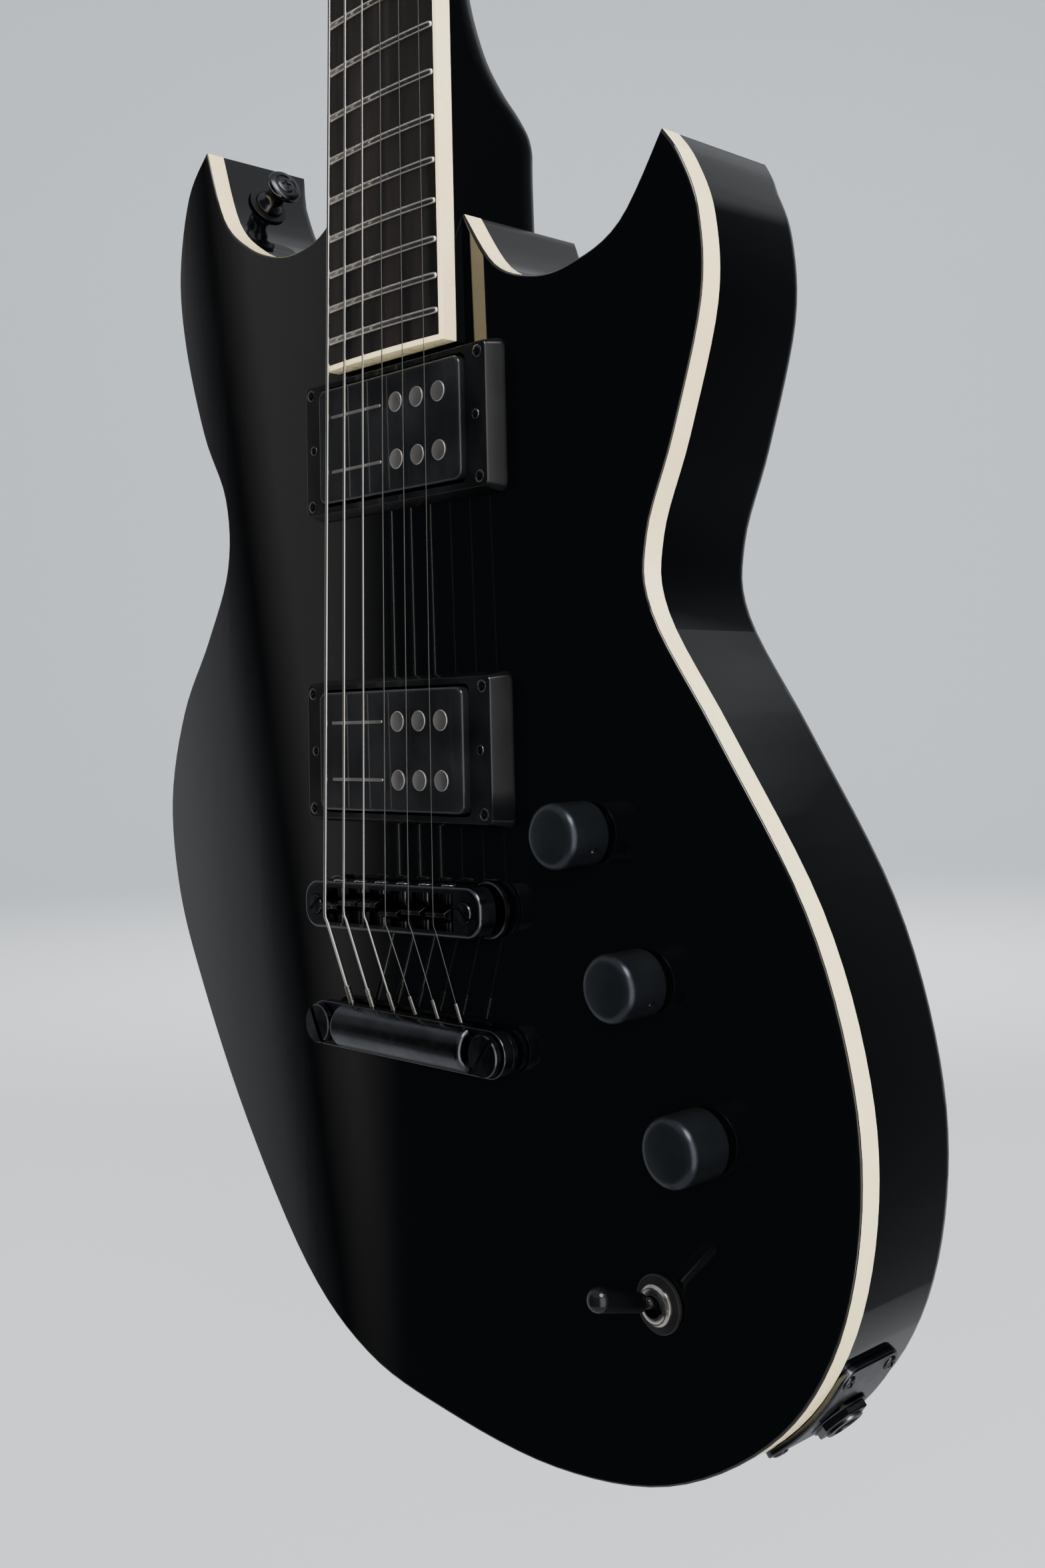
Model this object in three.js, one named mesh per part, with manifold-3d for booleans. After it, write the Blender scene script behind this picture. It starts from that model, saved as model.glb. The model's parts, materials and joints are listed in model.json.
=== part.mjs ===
// An electric guitar: a solid body with two cutaways and an arched top, a set neck, two humbucking
// pickups, a bridge with six sliding saddles, a stop tailpiece, three knobs and a three-way switch.
// Millimetres. X runs to the treble side, Y from the front to the back, Z up the neck. Inside the
// guitar group z is measured from the saddle line and y from the middle of the body's top.
import * as THREE from 'three';
import { mergeVertices } from 'three/addons/utils/BufferGeometryUtils.js';
import Module from 'manifold-3d';

const wasm = await Module();
wasm.setup();

// ---------------------------------------------------------------- driving dimensions
const GAP = 0.3;                                  // between pieces that touch
const SCALE = 628.65;                             // from the nut to the saddle line
const LAST_FRET_Z = SCALE * 2 ** (-22 / 12);
const DEG = Math.PI / 180;

const ARCH_RADIUS = 1900;                         // the top is bent across its width
const CAP = 7.5;                                  // thickness of the arched top plate
const BODY_DEPTH = 48;
const BACK_ROUND = 5;
const BINDING_WIDTH = 1.8;
const BINDING_LIP = 0.8;                          // lacquered wood in front of the binding

const BOARD_END_Z = 167.2;
const BOARD_THICKNESS = 5.5;
const BOARD_EDGE_Y = -8.75;                       // front edge of the board at the last fret
const BOARD_SLOPE = 0.0125;                       // the neck leans back towards the nut
const BOARD_HALF_WIDTH = 28.7;                    // at the last fret
const BOARD_TAPER = 0.0145;
const BOARD_RADIUS = 350;                         // crown of the playing surface
const HEEL_BACK_Y = 34;

const NUT_LENGTH = 5.2;
const HEAD_TILT = 14 * DEG;
const HEAD_THICKNESS = 15;

const STRING_COUNT = 6;
const STRING_DIAMETERS = [1.17, 0.91, 0.66, 0.43, 0.33, 0.25];
const BRIDGE_SPREAD = 52;                         // between the outer strings at the saddles
const NUT_SPREAD = 35.5;
const STRING_AT_SADDLE_Y = -14.6;
const STRING_AT_NUT_Y = -5;

const BRIDGE_Z = -1;                              // behind the saddle line, to compensate the strings
const BRIDGE_SLANT = 1.5 * DEG;
const BRIDGE_POST_X = 35.6;
const TAIL_Z = -40;
const TAIL_POST_X = 39.3;
const TAIL_HOLE_Y = -4.6;

const PICKUPS = {                                 // heights of the ring and the cover over the body
  neck: { z: 143.5, ring: 6.2, cover: 8.3 },
  bridge: { z: 46.1, ring: 7.2, cover: 9.8 },
};
const KNOBS = [[73.5, 23], [92, -15.5], [110.5, -54]];
const KNOB_RADIUS = 9.1;
const KNOB_HEIGHT = 14.8;
const SWITCH = { x: 94.5, z: -97.5, tilt: 17 * DEG, reach: 26.5 };
const JACK = { x: 131.1, y: 26, z: -120.6, turn: 46 * DEG };
const STRAP_UPPER = { x: -111.1, y: 26, z: 249.8, turn: -23 * DEG };
const STRAP_LOWER = { x: 0, y: 26, z: -147.3, turn: 97 * DEG };

// ---------------------------------------------------------------- closed solids and booleans
// A closed mesh with shared corners, no slivers of zero area, and its faces pointing out.
function closed(geometry) {
  if (geometry.userData.closed) return geometry;
  const bare = geometry.clone();
  bare.deleteAttribute('normal');
  bare.deleteAttribute('uv');
  const merged = mergeVertices(bare, 1e-4);
  const corner = [0, 1, 2].map(() => new THREE.Vector3());
  const triangles = [];
  let volume = 0;
  for (let i = 0; i < merged.index.count; i += 3) {
    const ids = [0, 1, 2].map((k) => merged.index.getX(i + k));
    if (new Set(ids).size < 3) continue;
    ids.forEach((id, k) => corner[k].fromBufferAttribute(merged.attributes.position, id));
    volume += corner[0].dot(corner[1].clone().cross(corner[2]));
    triangles.push(ids);
  }
  if (volume < 0) triangles.forEach((ids) => ids.reverse());
  merged.setIndex(triangles.flat());
  return merged;
}

function solid(geometry) {
  const mesh = closed(geometry);
  const vertProperties = new Float32Array(mesh.attributes.position.array);
  const triVerts = new Uint32Array(mesh.index.array);
  return new wasm.Manifold(new wasm.Mesh({ numProp: 3, vertProperties, triVerts }));
}

function surface(manifold) {
  const mesh = manifold.getMesh();
  const geometry = new THREE.BufferGeometry();
  geometry.setAttribute('position', new THREE.BufferAttribute(mesh.vertProperties, 3));
  geometry.setIndex(new THREE.BufferAttribute(mesh.triVerts, 1));
  geometry.userData.closed = true;
  return geometry;
}

const join = (...bodies) => surface(bodies.map(solid).reduce((a, b) => a.add(b)));
const common = (...bodies) => surface(bodies.map(solid).reduce((a, b) => a.intersect(b)));
const cut = (body, ...tools) => surface(tools.map(solid).reduce((a, b) => a.subtract(b), solid(body)));

// ---------------------------------------------------------------- basic shapes
function box(width, depth, height, x = 0, y = 0, z = 0) {
  return new THREE.BoxGeometry(width, depth, height).translate(x, y, z);
}

// A round bar along Y from y0 to y1.
function bar(radius, y0, y1, x, z, sides = 12) {
  return new THREE.CylinderGeometry(radius, radius, y1 - y0, sides).translate(x, (y0 + y1) / 2, z);
}

// Turned work: [radius, height] pairs, with the height rising out of the front, towards -Y.
function turned(profile, sides = 16) {
  const points = profile.map(([radius, height]) => new THREE.Vector2(radius, height));
  return new THREE.LatheGeometry(points, sides).rotateX(Math.PI);
}

// Layers of the same outline, drawn anticlockwise in X and Z and stacked along Y.
function stack(layers) {
  const count = layers[0].points.length;
  const vertices = layers.flatMap(({ points, y }) => points.flatMap((p) => [p.x, y, p.y]));
  const faces = [];
  for (let layer = 0; layer + 1 < layers.length; layer += 1) {
    for (let i = 0; i < count; i += 1) {
      const a = layer * count + i;
      const b = layer * count + ((i + 1) % count);
      faces.push(a, b, a + count, b, b + count, a + count);
    }
  }
  const last = (layers.length - 1) * count;
  for (const [a, b, c] of THREE.ShapeUtils.triangulateShape(layers[0].points, [])) faces.push(b, a, c);
  for (const [a, b, c] of THREE.ShapeUtils.triangulateShape(layers.at(-1).points, [])) {
    faces.push(last + a, last + b, last + c);
  }
  const geometry = new THREE.BufferGeometry();
  geometry.setAttribute('position', new THREE.Float32BufferAttribute(vertices, 3));
  geometry.setIndex(faces);
  return geometry;
}

const slab = (points, y0, y1) => stack([{ points, y: y0 }, { points, y: y1 }]);

// Convex rings of equal length joined into one closed body.
function loft(rings) {
  const count = rings[0].length;
  const faces = [];
  for (let ring = 0; ring + 1 < rings.length; ring += 1) {
    for (let i = 0; i < count; i += 1) {
      const a = ring * count + i;
      const b = ring * count + ((i + 1) % count);
      faces.push(a, b, a + count, b, b + count, a + count);
    }
  }
  const last = (rings.length - 1) * count;
  for (let i = 1; i + 1 < count; i += 1) faces.push(0, i + 1, i, last, last + i, last + i + 1);
  const geometry = new THREE.BufferGeometry();
  geometry.setAttribute('position', new THREE.Float32BufferAttribute(rings.flat(2), 3));
  geometry.setIndex(faces);
  return geometry;
}

function roundedRectangle(width, height, radius, x = 0, z = 0) {
  const path = new THREE.Shape();
  const [w, h] = [width / 2 - radius, height / 2 - radius];
  [[w, h], [-w, h], [-w, -h], [w, -h]].forEach(([cx, cz], quarter) => {
    path.absarc(x + cx, z + cz, radius, quarter * Math.PI / 2, (quarter + 1) * Math.PI / 2);
  });
  path.closePath();
  return path.getPoints(2).slice(0, -1);
}

// The outline moved inwards by an even distance; sharp corners are kept from running away.
function inset(points, distance) {
  return points.map((point, i) => {
    const before = points.at(i - 1);
    const after = points[(i + 1) % points.length];
    const n1 = new THREE.Vector2(before.y - point.y, point.x - before.x).normalize();
    const n2 = new THREE.Vector2(point.y - after.y, after.x - point.x).normalize();
    const reach = distance / Math.max(1 + n1.dot(n2), 0.6);
    return new THREE.Vector2(point.x + (n1.x + n2.x) * reach, point.y + (n1.y + n2.y) * reach);
  });
}

// ---------------------------------------------------------------- materials and assembly
const lacquer = (color) => new THREE.MeshStandardMaterial({ color, roughness: 0.12, metalness: 0 });
const BLACK_GLOSS = lacquer(0x050607);
const CREAM = new THREE.MeshStandardMaterial({ color: 0xe9e3cf, roughness: 0.35, metalness: 0 });
const EBONY = new THREE.MeshStandardMaterial({ color: 0x171413, roughness: 0.5, metalness: 0 });
const BLACK_METAL = new THREE.MeshStandardMaterial({ color: 0x101113, roughness: 0.28, metalness: 0.8 });
const BLACK_PLASTIC = new THREE.MeshStandardMaterial({ color: 0x0c0d0e, roughness: 0.4, metalness: 0 });
const SATIN_KNOB = new THREE.MeshStandardMaterial({ color: 0x24282d, roughness: 0.55, metalness: 0.4 });
const NICKEL = new THREE.MeshStandardMaterial({ color: 0xc9c5bb, roughness: 0.25, metalness: 1 });
const STEEL = new THREE.MeshStandardMaterial({ color: 0xa8a9ab, roughness: 0.35, metalness: 1 });

const guitar = new THREE.Group();
guitar.position.z = -SCALE;

function part(name, geometry, material, parent = guitar) {
  const mesh = new THREE.Mesh(closed(geometry), material);
  mesh.name = name;
  parent.add(mesh);
  return mesh;
}

function placed(x, y, z, parent = guitar) {
  const group = new THREE.Group();
  group.position.set(x, y, z);
  parent.add(group);
  return group;
}

// ---------------------------------------------------------------- body
const arch = (x) => (x * x) / (2 * ARCH_RADIUS);

// Everything behind the arched surface, moved back by an even depth.
function behindArch(depth) {
  const half = 170;
  const strips = 20;
  const shape = new THREE.Shape();
  shape.moveTo(half, BODY_DEPTH + 20);
  shape.lineTo(-half, BODY_DEPTH + 20);
  for (let i = 0; i <= strips; i += 1) {
    const x = half * ((2 * i) / strips - 1);
    shape.lineTo(x, arch(x) + depth);
  }
  return new THREE.ExtrudeGeometry(shape, { depth: 500, bevelEnabled: false }).translate(0, 0, -200);
}

function bodyOutline() {
  const path = new THREE.Shape();
  const through = (...points) => path.splineThru(points.map(([x, z]) => new THREE.Vector2(x, z)));
  path.moveTo(-118, 267.5);
  through(
    [-132.5, 254], [-140, 226], [-136, 197], [-122.5, 161.5], [-107.5, 136], [-106.5, 111],
    [-121, 86], [-140, 60.5], [-150.5, 28], [-145, -6], [-128, -38], [-98, -81], [-61, -122],
    [-28, -141.5], [10, -148.5], [55, -151], [95, -144], [127, -125], [146, -100], [155, -68],
    [154.5, -34], [143, 6], [118, 49.5], [98, 82.5], [97, 103], [107, 129], [117.5, 163],
    [117, 187], [106, 212],
  );
  through([90, 190], [72, 182.5], [57, 182.3], [41, 191], [28.7, 211]);
  path.lineTo(-28.7, 231);
  through([-42, 219], [-56, 215.5], [-71, 217], [-89, 224.6], [-106, 239], [-118, 267.5]);
  return path.getPoints(2).slice(0, -1);
}

const OUTLINE = bodyOutline();

function controlCavity(margin) {
  const path = new THREE.Shape();
  path.moveTo(57, 22);
  path.splineThru([
    [66, -28], [73, -84], [82, -112], [112, -112], [129, -86], [127, -40], [110, 4], [88, 37], [66, 39],
    [57, 22],
  ].map(([x, z]) => new THREE.Vector2(x, z)));
  return inset(path.getPoints(2).slice(0, -1), -margin);
}

// The neck widens towards the body; this is half its width at a height z.
const neckHalf = (z) => BOARD_HALF_WIDTH - BOARD_TAPER * (z - LAST_FRET_Z);
const boardEdge = (z) => BOARD_EDGE_Y + BOARD_SLOPE * (z - LAST_FRET_Z);
const boardBack = (z) => boardEdge(z) + BOARD_THICKNESS;

// The space that the neck's tongue and heel take out of the body.
function neckPocket() {
  const ring = (z) => {
    const half = neckHalf(z) + GAP;
    return [[-half, -20, z], [half, -20, z], [half, HEEL_BACK_Y + GAP, z], [-half, HEEL_BACK_Y + GAP, z]];
  };
  return loft([ring(BOARD_END_Z - GAP), ring(300)]);
}

function pickupRoute({ z }, depth) {
  const legs = box(87, depth + 5, 17, 0, (depth - 5) / 2, z);
  return join(slab(roundedRectangle(72, 40, 3, 0, z), -5, depth), legs);
}

function sideBore(radius, from, to, { x, y, z, turn }) {
  const bore = new THREE.CylinderGeometry(radius, radius, to - from, 12).translate(0, (from + to) / 2, 0);
  return bore.rotateZ(-Math.PI / 2).rotateY(turn).translate(x, y, z);
}

function makeBody() {
  const routes = Object.values(PICKUPS).map((pickup) => pickupRoute(pickup, 24));
  const holes = [
    ...KNOBS.map(([x, z]) => bar(4.7, -5, CAP + 10, x, z)),
    bar(5.3, -5, CAP + 10, SWITCH.x, SWITCH.z),
  ];
  const posts = [
    bar(3, -5, 24, BRIDGE_POST_X, BRIDGE_Z + BRIDGE_POST_X * Math.tan(BRIDGE_SLANT)),
    bar(3, -5, 24, -BRIDGE_POST_X, BRIDGE_Z - BRIDGE_POST_X * Math.tan(BRIDGE_SLANT)),
    bar(3.6, -5, 27, TAIL_POST_X, TAIL_Z),
    bar(3.6, -5, 27, -TAIL_POST_X, TAIL_Z),
  ];

  const rebate = cut(slab(inset(OUTLINE, -3), -5, 60), slab(inset(OUTLINE, BINDING_WIDTH + GAP), -6, 61));
  const cap = cut(
    common(slab(OUTLINE, -5, 30), behindArch(0)),
    behindArch(CAP),
    common(rebate, behindArch(BINDING_LIP - GAP)),
    neckPocket(), ...routes, ...holes, ...posts,
  );
  part('top_cap', cap, BLACK_GLOSS);

  const strip = cut(slab(OUTLINE, -5, 60), slab(inset(OUTLINE, BINDING_WIDTH), -6, 61));
  const atNeck = loft([200, 300].map((z) => {
    const half = neckHalf(z) + GAP;
    return [[-half, -20, z], [half, -20, z], [half, 70, z], [-half, 70, z]];
  }));
  part('body_binding', cut(common(strip, behindArch(BINDING_LIP)), behindArch(CAP), atNeck), CREAM);

  const layers = [{ points: OUTLINE, y: 0 }];
  for (let step = 0; step <= 3; step += 1) {
    const angle = (step / 3) * 90 * DEG;
    layers.push({
      points: inset(OUTLINE, BACK_ROUND * (1 - Math.cos(angle))),
      y: BODY_DEPTH - BACK_ROUND * (1 - Math.sin(angle)),
    });
  }
  const core = cut(
    common(stack(layers), behindArch(CAP + GAP)),
    neckPocket(), ...routes, ...posts,
    slab(controlCavity(0), -5, 60),
    slab(controlCavity(7 + GAP), BODY_DEPTH - 2.5 - GAP, 60),
    sideBore(6.2, -34, 12, JACK),
    sideBore(1.8, -24, 6, STRAP_UPPER),
    sideBore(1.8, -24, 6, STRAP_LOWER),
  );
  part('body_core', core, BLACK_GLOSS);
  part('control_cover', slab(controlCavity(7), BODY_DEPTH - 2.5, BODY_DEPTH), BLACK_PLASTIC);
}

// ---------------------------------------------------------------- neck, board and headstock
function headOutline() {
  const path = new THREE.Shape();
  path.moveTo(22, -1.5);
  path.bezierCurveTo(22.5, 14, 39, 15, 40, 34);
  path.lineTo(35, 150);
  path.bezierCurveTo(34, 168, 28, 176, 19, 179);
  path.quadraticCurveTo(0, 184, -19, 179);
  path.bezierCurveTo(-28, 176, -34, 168, -35, 150);
  path.lineTo(-40, 34);
  path.bezierCurveTo(-39, 15, -22.5, 14, -22, -1.5);
  return path.getPoints(5);
}

const TUNERS = [0, 1, 2].flatMap((row) => [-1, 1].map((side) => ({
  side, row, x: side * (27.5 - 1.5 * row), z: 36 + 41 * row,
  string: side < 0 ? row : STRING_COUNT - 1 - row,
})));

const BUTTON_DEPTH = 22;                          // behind the headstock's face
const BUTTON_DROP = 8;                            // from the post down to the button's shaft

const HEAD_Z = SCALE + NUT_LENGTH + GAP;
const head = placed(0, boardBack(SCALE), HEAD_Z);
head.rotation.x = -HEAD_TILT;
head.updateMatrix();

// A section across the neck: flat under the board, and rounded, or squarer, behind it.
function neckSection(z, back, squareness) {
  const half = neckHalf(z);
  const front = boardBack(z) + GAP;
  const ring = [];
  for (let i = 0; i <= 10; i += 1) {
    const [c, s] = [Math.cos(i * 18 * DEG), Math.sin(i * 18 * DEG)];
    const power = 2 / squareness;
    ring.push([half * Math.sign(c) * Math.abs(c) ** power, front + (back - front) * Math.abs(s) ** power, z]);
  }
  return ring;
}

function makeNeck() {
  const shaft = loft([
    neckSection(BOARD_END_Z, HEEL_BACK_Y, 12), neckSection(235, HEEL_BACK_Y, 12),
    neckSection(243, 31, 8), neckSection(251, 24.5, 5.5), neckSection(262.5, 18.5, 3.8),
    neckSection(283, 14, 2.7), neckSection(320, 13.2, 2.3), neckSection(470, 14.6, 2.2),
    neckSection(600, 16.2, 2.2), neckSection(SCALE - 6, 17.2, 2.3),
    neckSection(SCALE + 8, 20.5, 2.8), neckSection(SCALE + 22, 22, 3.2),
  ]);
  const aboveHead = box(120, 40, 220, 0, -20, 100).applyMatrix4(head.matrix);
  const plate = slab(headOutline(), 0, HEAD_THICKNESS).applyMatrix4(head.matrix);
  const bores = TUNERS.map(({ x, z }) => bar(4.9, -5, 30, x, z).applyMatrix4(head.matrix));
  const rodPocket = slab(roundedRectangle(13, 24, 4, 0, 13), -5, 7.5).applyMatrix4(head.matrix);
  const rodChannel = loft([185, SCALE + 16].map((z) => {
    const y = boardBack(z);
    return [[-3.6, y - 5, z], [3.6, y - 5, z], [3.6, y + 8.6, z], [-3.6, y + 8.6, z]];
  }));
  const shelfLength = HEAD_Z - SCALE + GAP;
  const nutShelf = box(60, 20, shelfLength, 0, boardBack(SCALE) - 10 + GAP, (HEAD_Z + SCALE - GAP) / 2);
  const neck = cut(join(cut(shaft, aboveHead), plate), rodPocket, rodChannel, nutShelf, ...bores);
  part('neck', neck, BLACK_GLOSS);

  const rod = new THREE.CylinderGeometry(3, 3, 440, 10).rotateX(Math.PI / 2 - Math.atan(BOARD_SLOPE));
  part('truss_rod', rod.translate(0, boardBack(415) + 4.9, 415), STEEL);

  const cover = new THREE.Shape();
  cover.moveTo(-10.5, 1.5);
  cover.lineTo(10.5, 1.5);
  cover.bezierCurveTo(10.5, 16, 5, 22, 4, 32);
  cover.lineTo(-4, 32);
  cover.bezierCurveTo(-5, 22, -10.5, 16, -10.5, 1.5);
  part('truss_rod_cover', slab(cover.getPoints(4).slice(0, -1), -2.1, -GAP), BLACK_PLASTIC, head);
}

// A section across the fingerboard, with its crowned front.
function boardSection(z, trim) {
  const half = neckHalf(z) - trim;
  const crown = (x) => (neckHalf(z) ** 2 - x * x) / (2 * BOARD_RADIUS);
  const ring = [[-half, boardBack(z), z], [half, boardBack(z), z]];
  for (let i = 0; i <= 6; i += 1) {
    const x = half * (1 - i / 3);
    ring.push([x, boardEdge(z) - crown(x), z]);
  }
  return ring;
}

function makeBoard() {
  const nutFace = SCALE - GAP;
  const trim = BINDING_WIDTH + GAP;
  const core = loft([BOARD_END_Z + trim, nutFace].map((z) => boardSection(z, trim)));
  part('fretboard', core, EBONY);
  const whole = loft([BOARD_END_Z, nutFace].map((z) => boardSection(z, 0)));
  const inside = loft([BOARD_END_Z + BINDING_WIDTH, SCALE + 5].map((z) => {
    const half = neckHalf(z) - BINDING_WIDTH;
    return [[-half, -30, z], [half, -30, z], [half, 20, z], [-half, 20, z]];
  }));
  part('fretboard_binding', cut(whole, inside), CREAM);

  const nutTop = STRING_AT_NUT_Y + STRING_DIAMETERS[0] / 2 + GAP;
  const nutBack = boardBack(SCALE);
  const nut = box(2 * neckHalf(SCALE), nutBack - nutTop, NUT_LENGTH);
  part('nut', nut.translate(0, (nutBack + nutTop) / 2, SCALE + NUT_LENGTH / 2), CREAM);
}

// ---------------------------------------------------------------- tuners
function makeTuners() {
  const housingY = HEAD_THICKNESS + GAP;
  for (const side of [-1, 1]) {
    const rows = TUNERS.filter((tuner) => tuner.side === side);
    const boxes = rows.map(({ x, z }) => {
      const outline = roundedRectangle(15, 21, 3, x + side * 1.5, z - 3);
      return slab(outline, housingY, 28);
    });
    const [low, high] = [rows[0], rows[2]];
    const corners = [
      new THREE.Vector2(low.x + 6, low.z - 13), new THREE.Vector2(high.x + 6, high.z + 8),
      new THREE.Vector2(high.x - 6, high.z + 8), new THREE.Vector2(low.x - 6, low.z - 13),
    ];
    const strip = slab(corners, housingY, housingY + 1.6);
    const posts = rows.map(({ x, z }) => bar(3.5, 10, 21, x, z));
    const shafts = rows.map(({ x, z }) => {
      const shaft = new THREE.CylinderGeometry(2.4, 2.4, 12, 10).rotateZ(Math.PI / 2);
      return shaft.translate(x + side * 10, BUTTON_DEPTH, z - BUTTON_DROP);
    });
    const name = side < 0 ? 'tuner_housings_bass' : 'tuner_housings_treble';
    part(name, cut(join(strip, ...boxes), ...posts, ...shafts), BLACK_METAL, head);
  }
  for (const { side, x, z, string } of TUNERS) {
    const number = STRING_COUNT - string;
    const post = turned([[0, -20.6], [3.1, -20.6], [3.1, 8], [2.4, 12], [3, 17], [0, 17]], 12);
    part(`tuner_post_${number}`, post, BLACK_METAL, placed(x, 0, z, head));
    const knob = new THREE.SphereGeometry(1, 12, 8).scale(8, 5, 9).translate(side * 17, 0, 0);
    const shaft = new THREE.CylinderGeometry(2, 2, 14, 10).rotateZ(Math.PI / 2).translate(side * 6, 0, 0);
    const place = placed(x + side * 7, BUTTON_DEPTH, z - BUTTON_DROP, head);
    part(`tuner_button_${number}`, join(knob, shaft), BLACK_METAL, place);
  }
}

// ---------------------------------------------------------------- bridge and tailpiece
const SADDLE_SHIFT = [-0.3, 1, 1.1, -1.1, -0.3, -0.6];
const spread = (width, i) => width * (i / (STRING_COUNT - 1) - 0.5);
// The middle strings stand a little prouder, to follow the crown of the board.
const stringCrown = (x) => (BRIDGE_SPREAD ** 2 / 4 - x * x) / (2 * BOARD_RADIUS);

function makeBridge() {
  const bridge = placed(0, 0, BRIDGE_Z);
  bridge.rotation.y = -BRIDGE_SLANT;
  const postX = BRIDGE_POST_X / Math.cos(BRIDGE_SLANT);
  const rail = stack([[1, -11.2], [0, -10.2], [0, -4.2], [1, -3.2]].map(([trim, y]) => (
    { points: inset(roundedRectangle(84, 15, 6), trim), y })));
  const channel = box(61.4, 6, 10.6, 0, -9.1, 0);
  const ends = [-1, 1].map((side) => box(12, 5, 20, side * 40.5, -2.2, 0));
  const postHoles = [-1, 1].map((side) => bar(3.3, -15, 0, side * postX, 0));
  part('bridge_rail', cut(rail, channel, ...ends, ...postHoles), BLACK_METAL, bridge);
  [['bass', -1], ['treble', 1]].forEach(([name, side]) => {
    const post = turned([
      [0, -22], [2.5, -22], [2.5, 0.6], [8.3, 0.6], [8.3, 2.4], [2.9, 2.4], [2.9, 11.5], [2.3, 11.9], [0, 11.9],
    ]);
    part(`bridge_post_${name}`, post, BLACK_METAL, placed(side * postX, 0, 0, bridge));
  });
  for (let i = 0; i < STRING_COUNT; i += 1) {
    const x = spread(BRIDGE_SPREAD, i) / Math.cos(BRIDGE_SLANT);
    const under = STRING_AT_SADDLE_Y - stringCrown(x) + STRING_DIAMETERS[i] / 2 + GAP;
    const corners = [[-2.7, -6.4], [2.7, -6.4], [2.7, -9.5], [0.6, under], [-0.6, under], [-2.7, -9.5]];
    const shape = new THREE.Shape(corners.map(([z, y]) => new THREE.Vector2(z, y)));
    const wedge = new THREE.ExtrudeGeometry(shape, { depth: 8.6, bevelEnabled: false }).translate(0, 0, -4.3);
    const place = placed(x, 0, SADDLE_SHIFT[i], bridge);
    part(`saddle_${STRING_COUNT - i}`, wedge.rotateY(Math.PI / 2), BLACK_METAL, place);
  }
}

function makeTailpiece() {
  const section = new THREE.Shape();
  section.moveTo(-7, -1.6);
  section.lineTo(7, -1.6);
  section.bezierCurveTo(8, -7, 5.5, -10.8, 0, -10.8);
  section.bezierCurveTo(-5.5, -10.8, -8, -7, -7, -1.6);
  const length = 62;
  const middle = new THREE.ExtrudeGeometry(section, { depth: length, bevelEnabled: false, curveSegments: 4 })
    .translate(0, 0, -length / 2).rotateY(Math.PI / 2);
  const ears = slab(roundedRectangle(92, 14, 6.8), -6.3, -2.6);
  const slots = [-1, 1].map((side) => bar(4.3, -9, 0, side * TAIL_POST_X, 0));
  const bores = Array.from({ length: STRING_COUNT }, (_, i) => new THREE.CylinderGeometry(1.6, 1.6, 30, 8)
    .rotateX(Math.PI / 2).translate(spread(BRIDGE_SPREAD, i), TAIL_HOLE_Y, 0));
  part('tailpiece', cut(join(middle, ears), ...slots, ...bores), BLACK_METAL, placed(0, 0, TAIL_Z));
  [['bass', -1], ['treble', 1]].forEach(([name, side]) => {
    const stud = turned([
      [0, -25], [3.2, -25], [3.2, 0.2], [6.2, 0.2], [6.2, 2.2], [3.8, 2.2], [3.8, 6.7], [6.1, 6.7],
      [6.1, 8.4], [5.4, 9.2], [0, 9.2],
    ]);
    const place = placed(side * TAIL_POST_X, -arch(TAIL_POST_X) + 0.3, TAIL_Z);
    part(`tailpiece_stud_${name}`, stud, BLACK_METAL, place);
  });
}

// ---------------------------------------------------------------- pickups
function makePickups() {
  for (const [name, { z, ring, cover }] of Object.entries(PICKUPS)) {
    const frame = stack([
      { points: roundedRectangle(91, 45.5, 3, 0, z), y: 3 },
      { points: roundedRectangle(91, 45.5, 3, 0, z), y: -0.5 },
      { points: roundedRectangle(88.4, 43, 3, 0, z), y: -ring + 0.6 },
      { points: roundedRectangle(87.2, 41.8, 3, 0, z), y: -ring },
    ]);
    const window = slab(roundedRectangle(70.6, 38.6, 2.5, 0, z), -20, 10);
    part(`pickup_ring_${name}`, cut(frame, window, behindArch(-GAP)), BLACK_PLASTIC);
    const shell = roundedRectangle(69, 37, 3, 0, z);
    const can = stack([
      { points: inset(shell, 1.2), y: -cover }, { points: inset(shell, 0.4), y: 0.4 - cover },
      { points: shell, y: 1.4 - cover }, { points: shell, y: 12 },
    ]);
    part(`pickup_${name}`, join(can, box(84, 1.5, 13, 0, 10, z)), BLACK_PLASTIC);
  }
}

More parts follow.
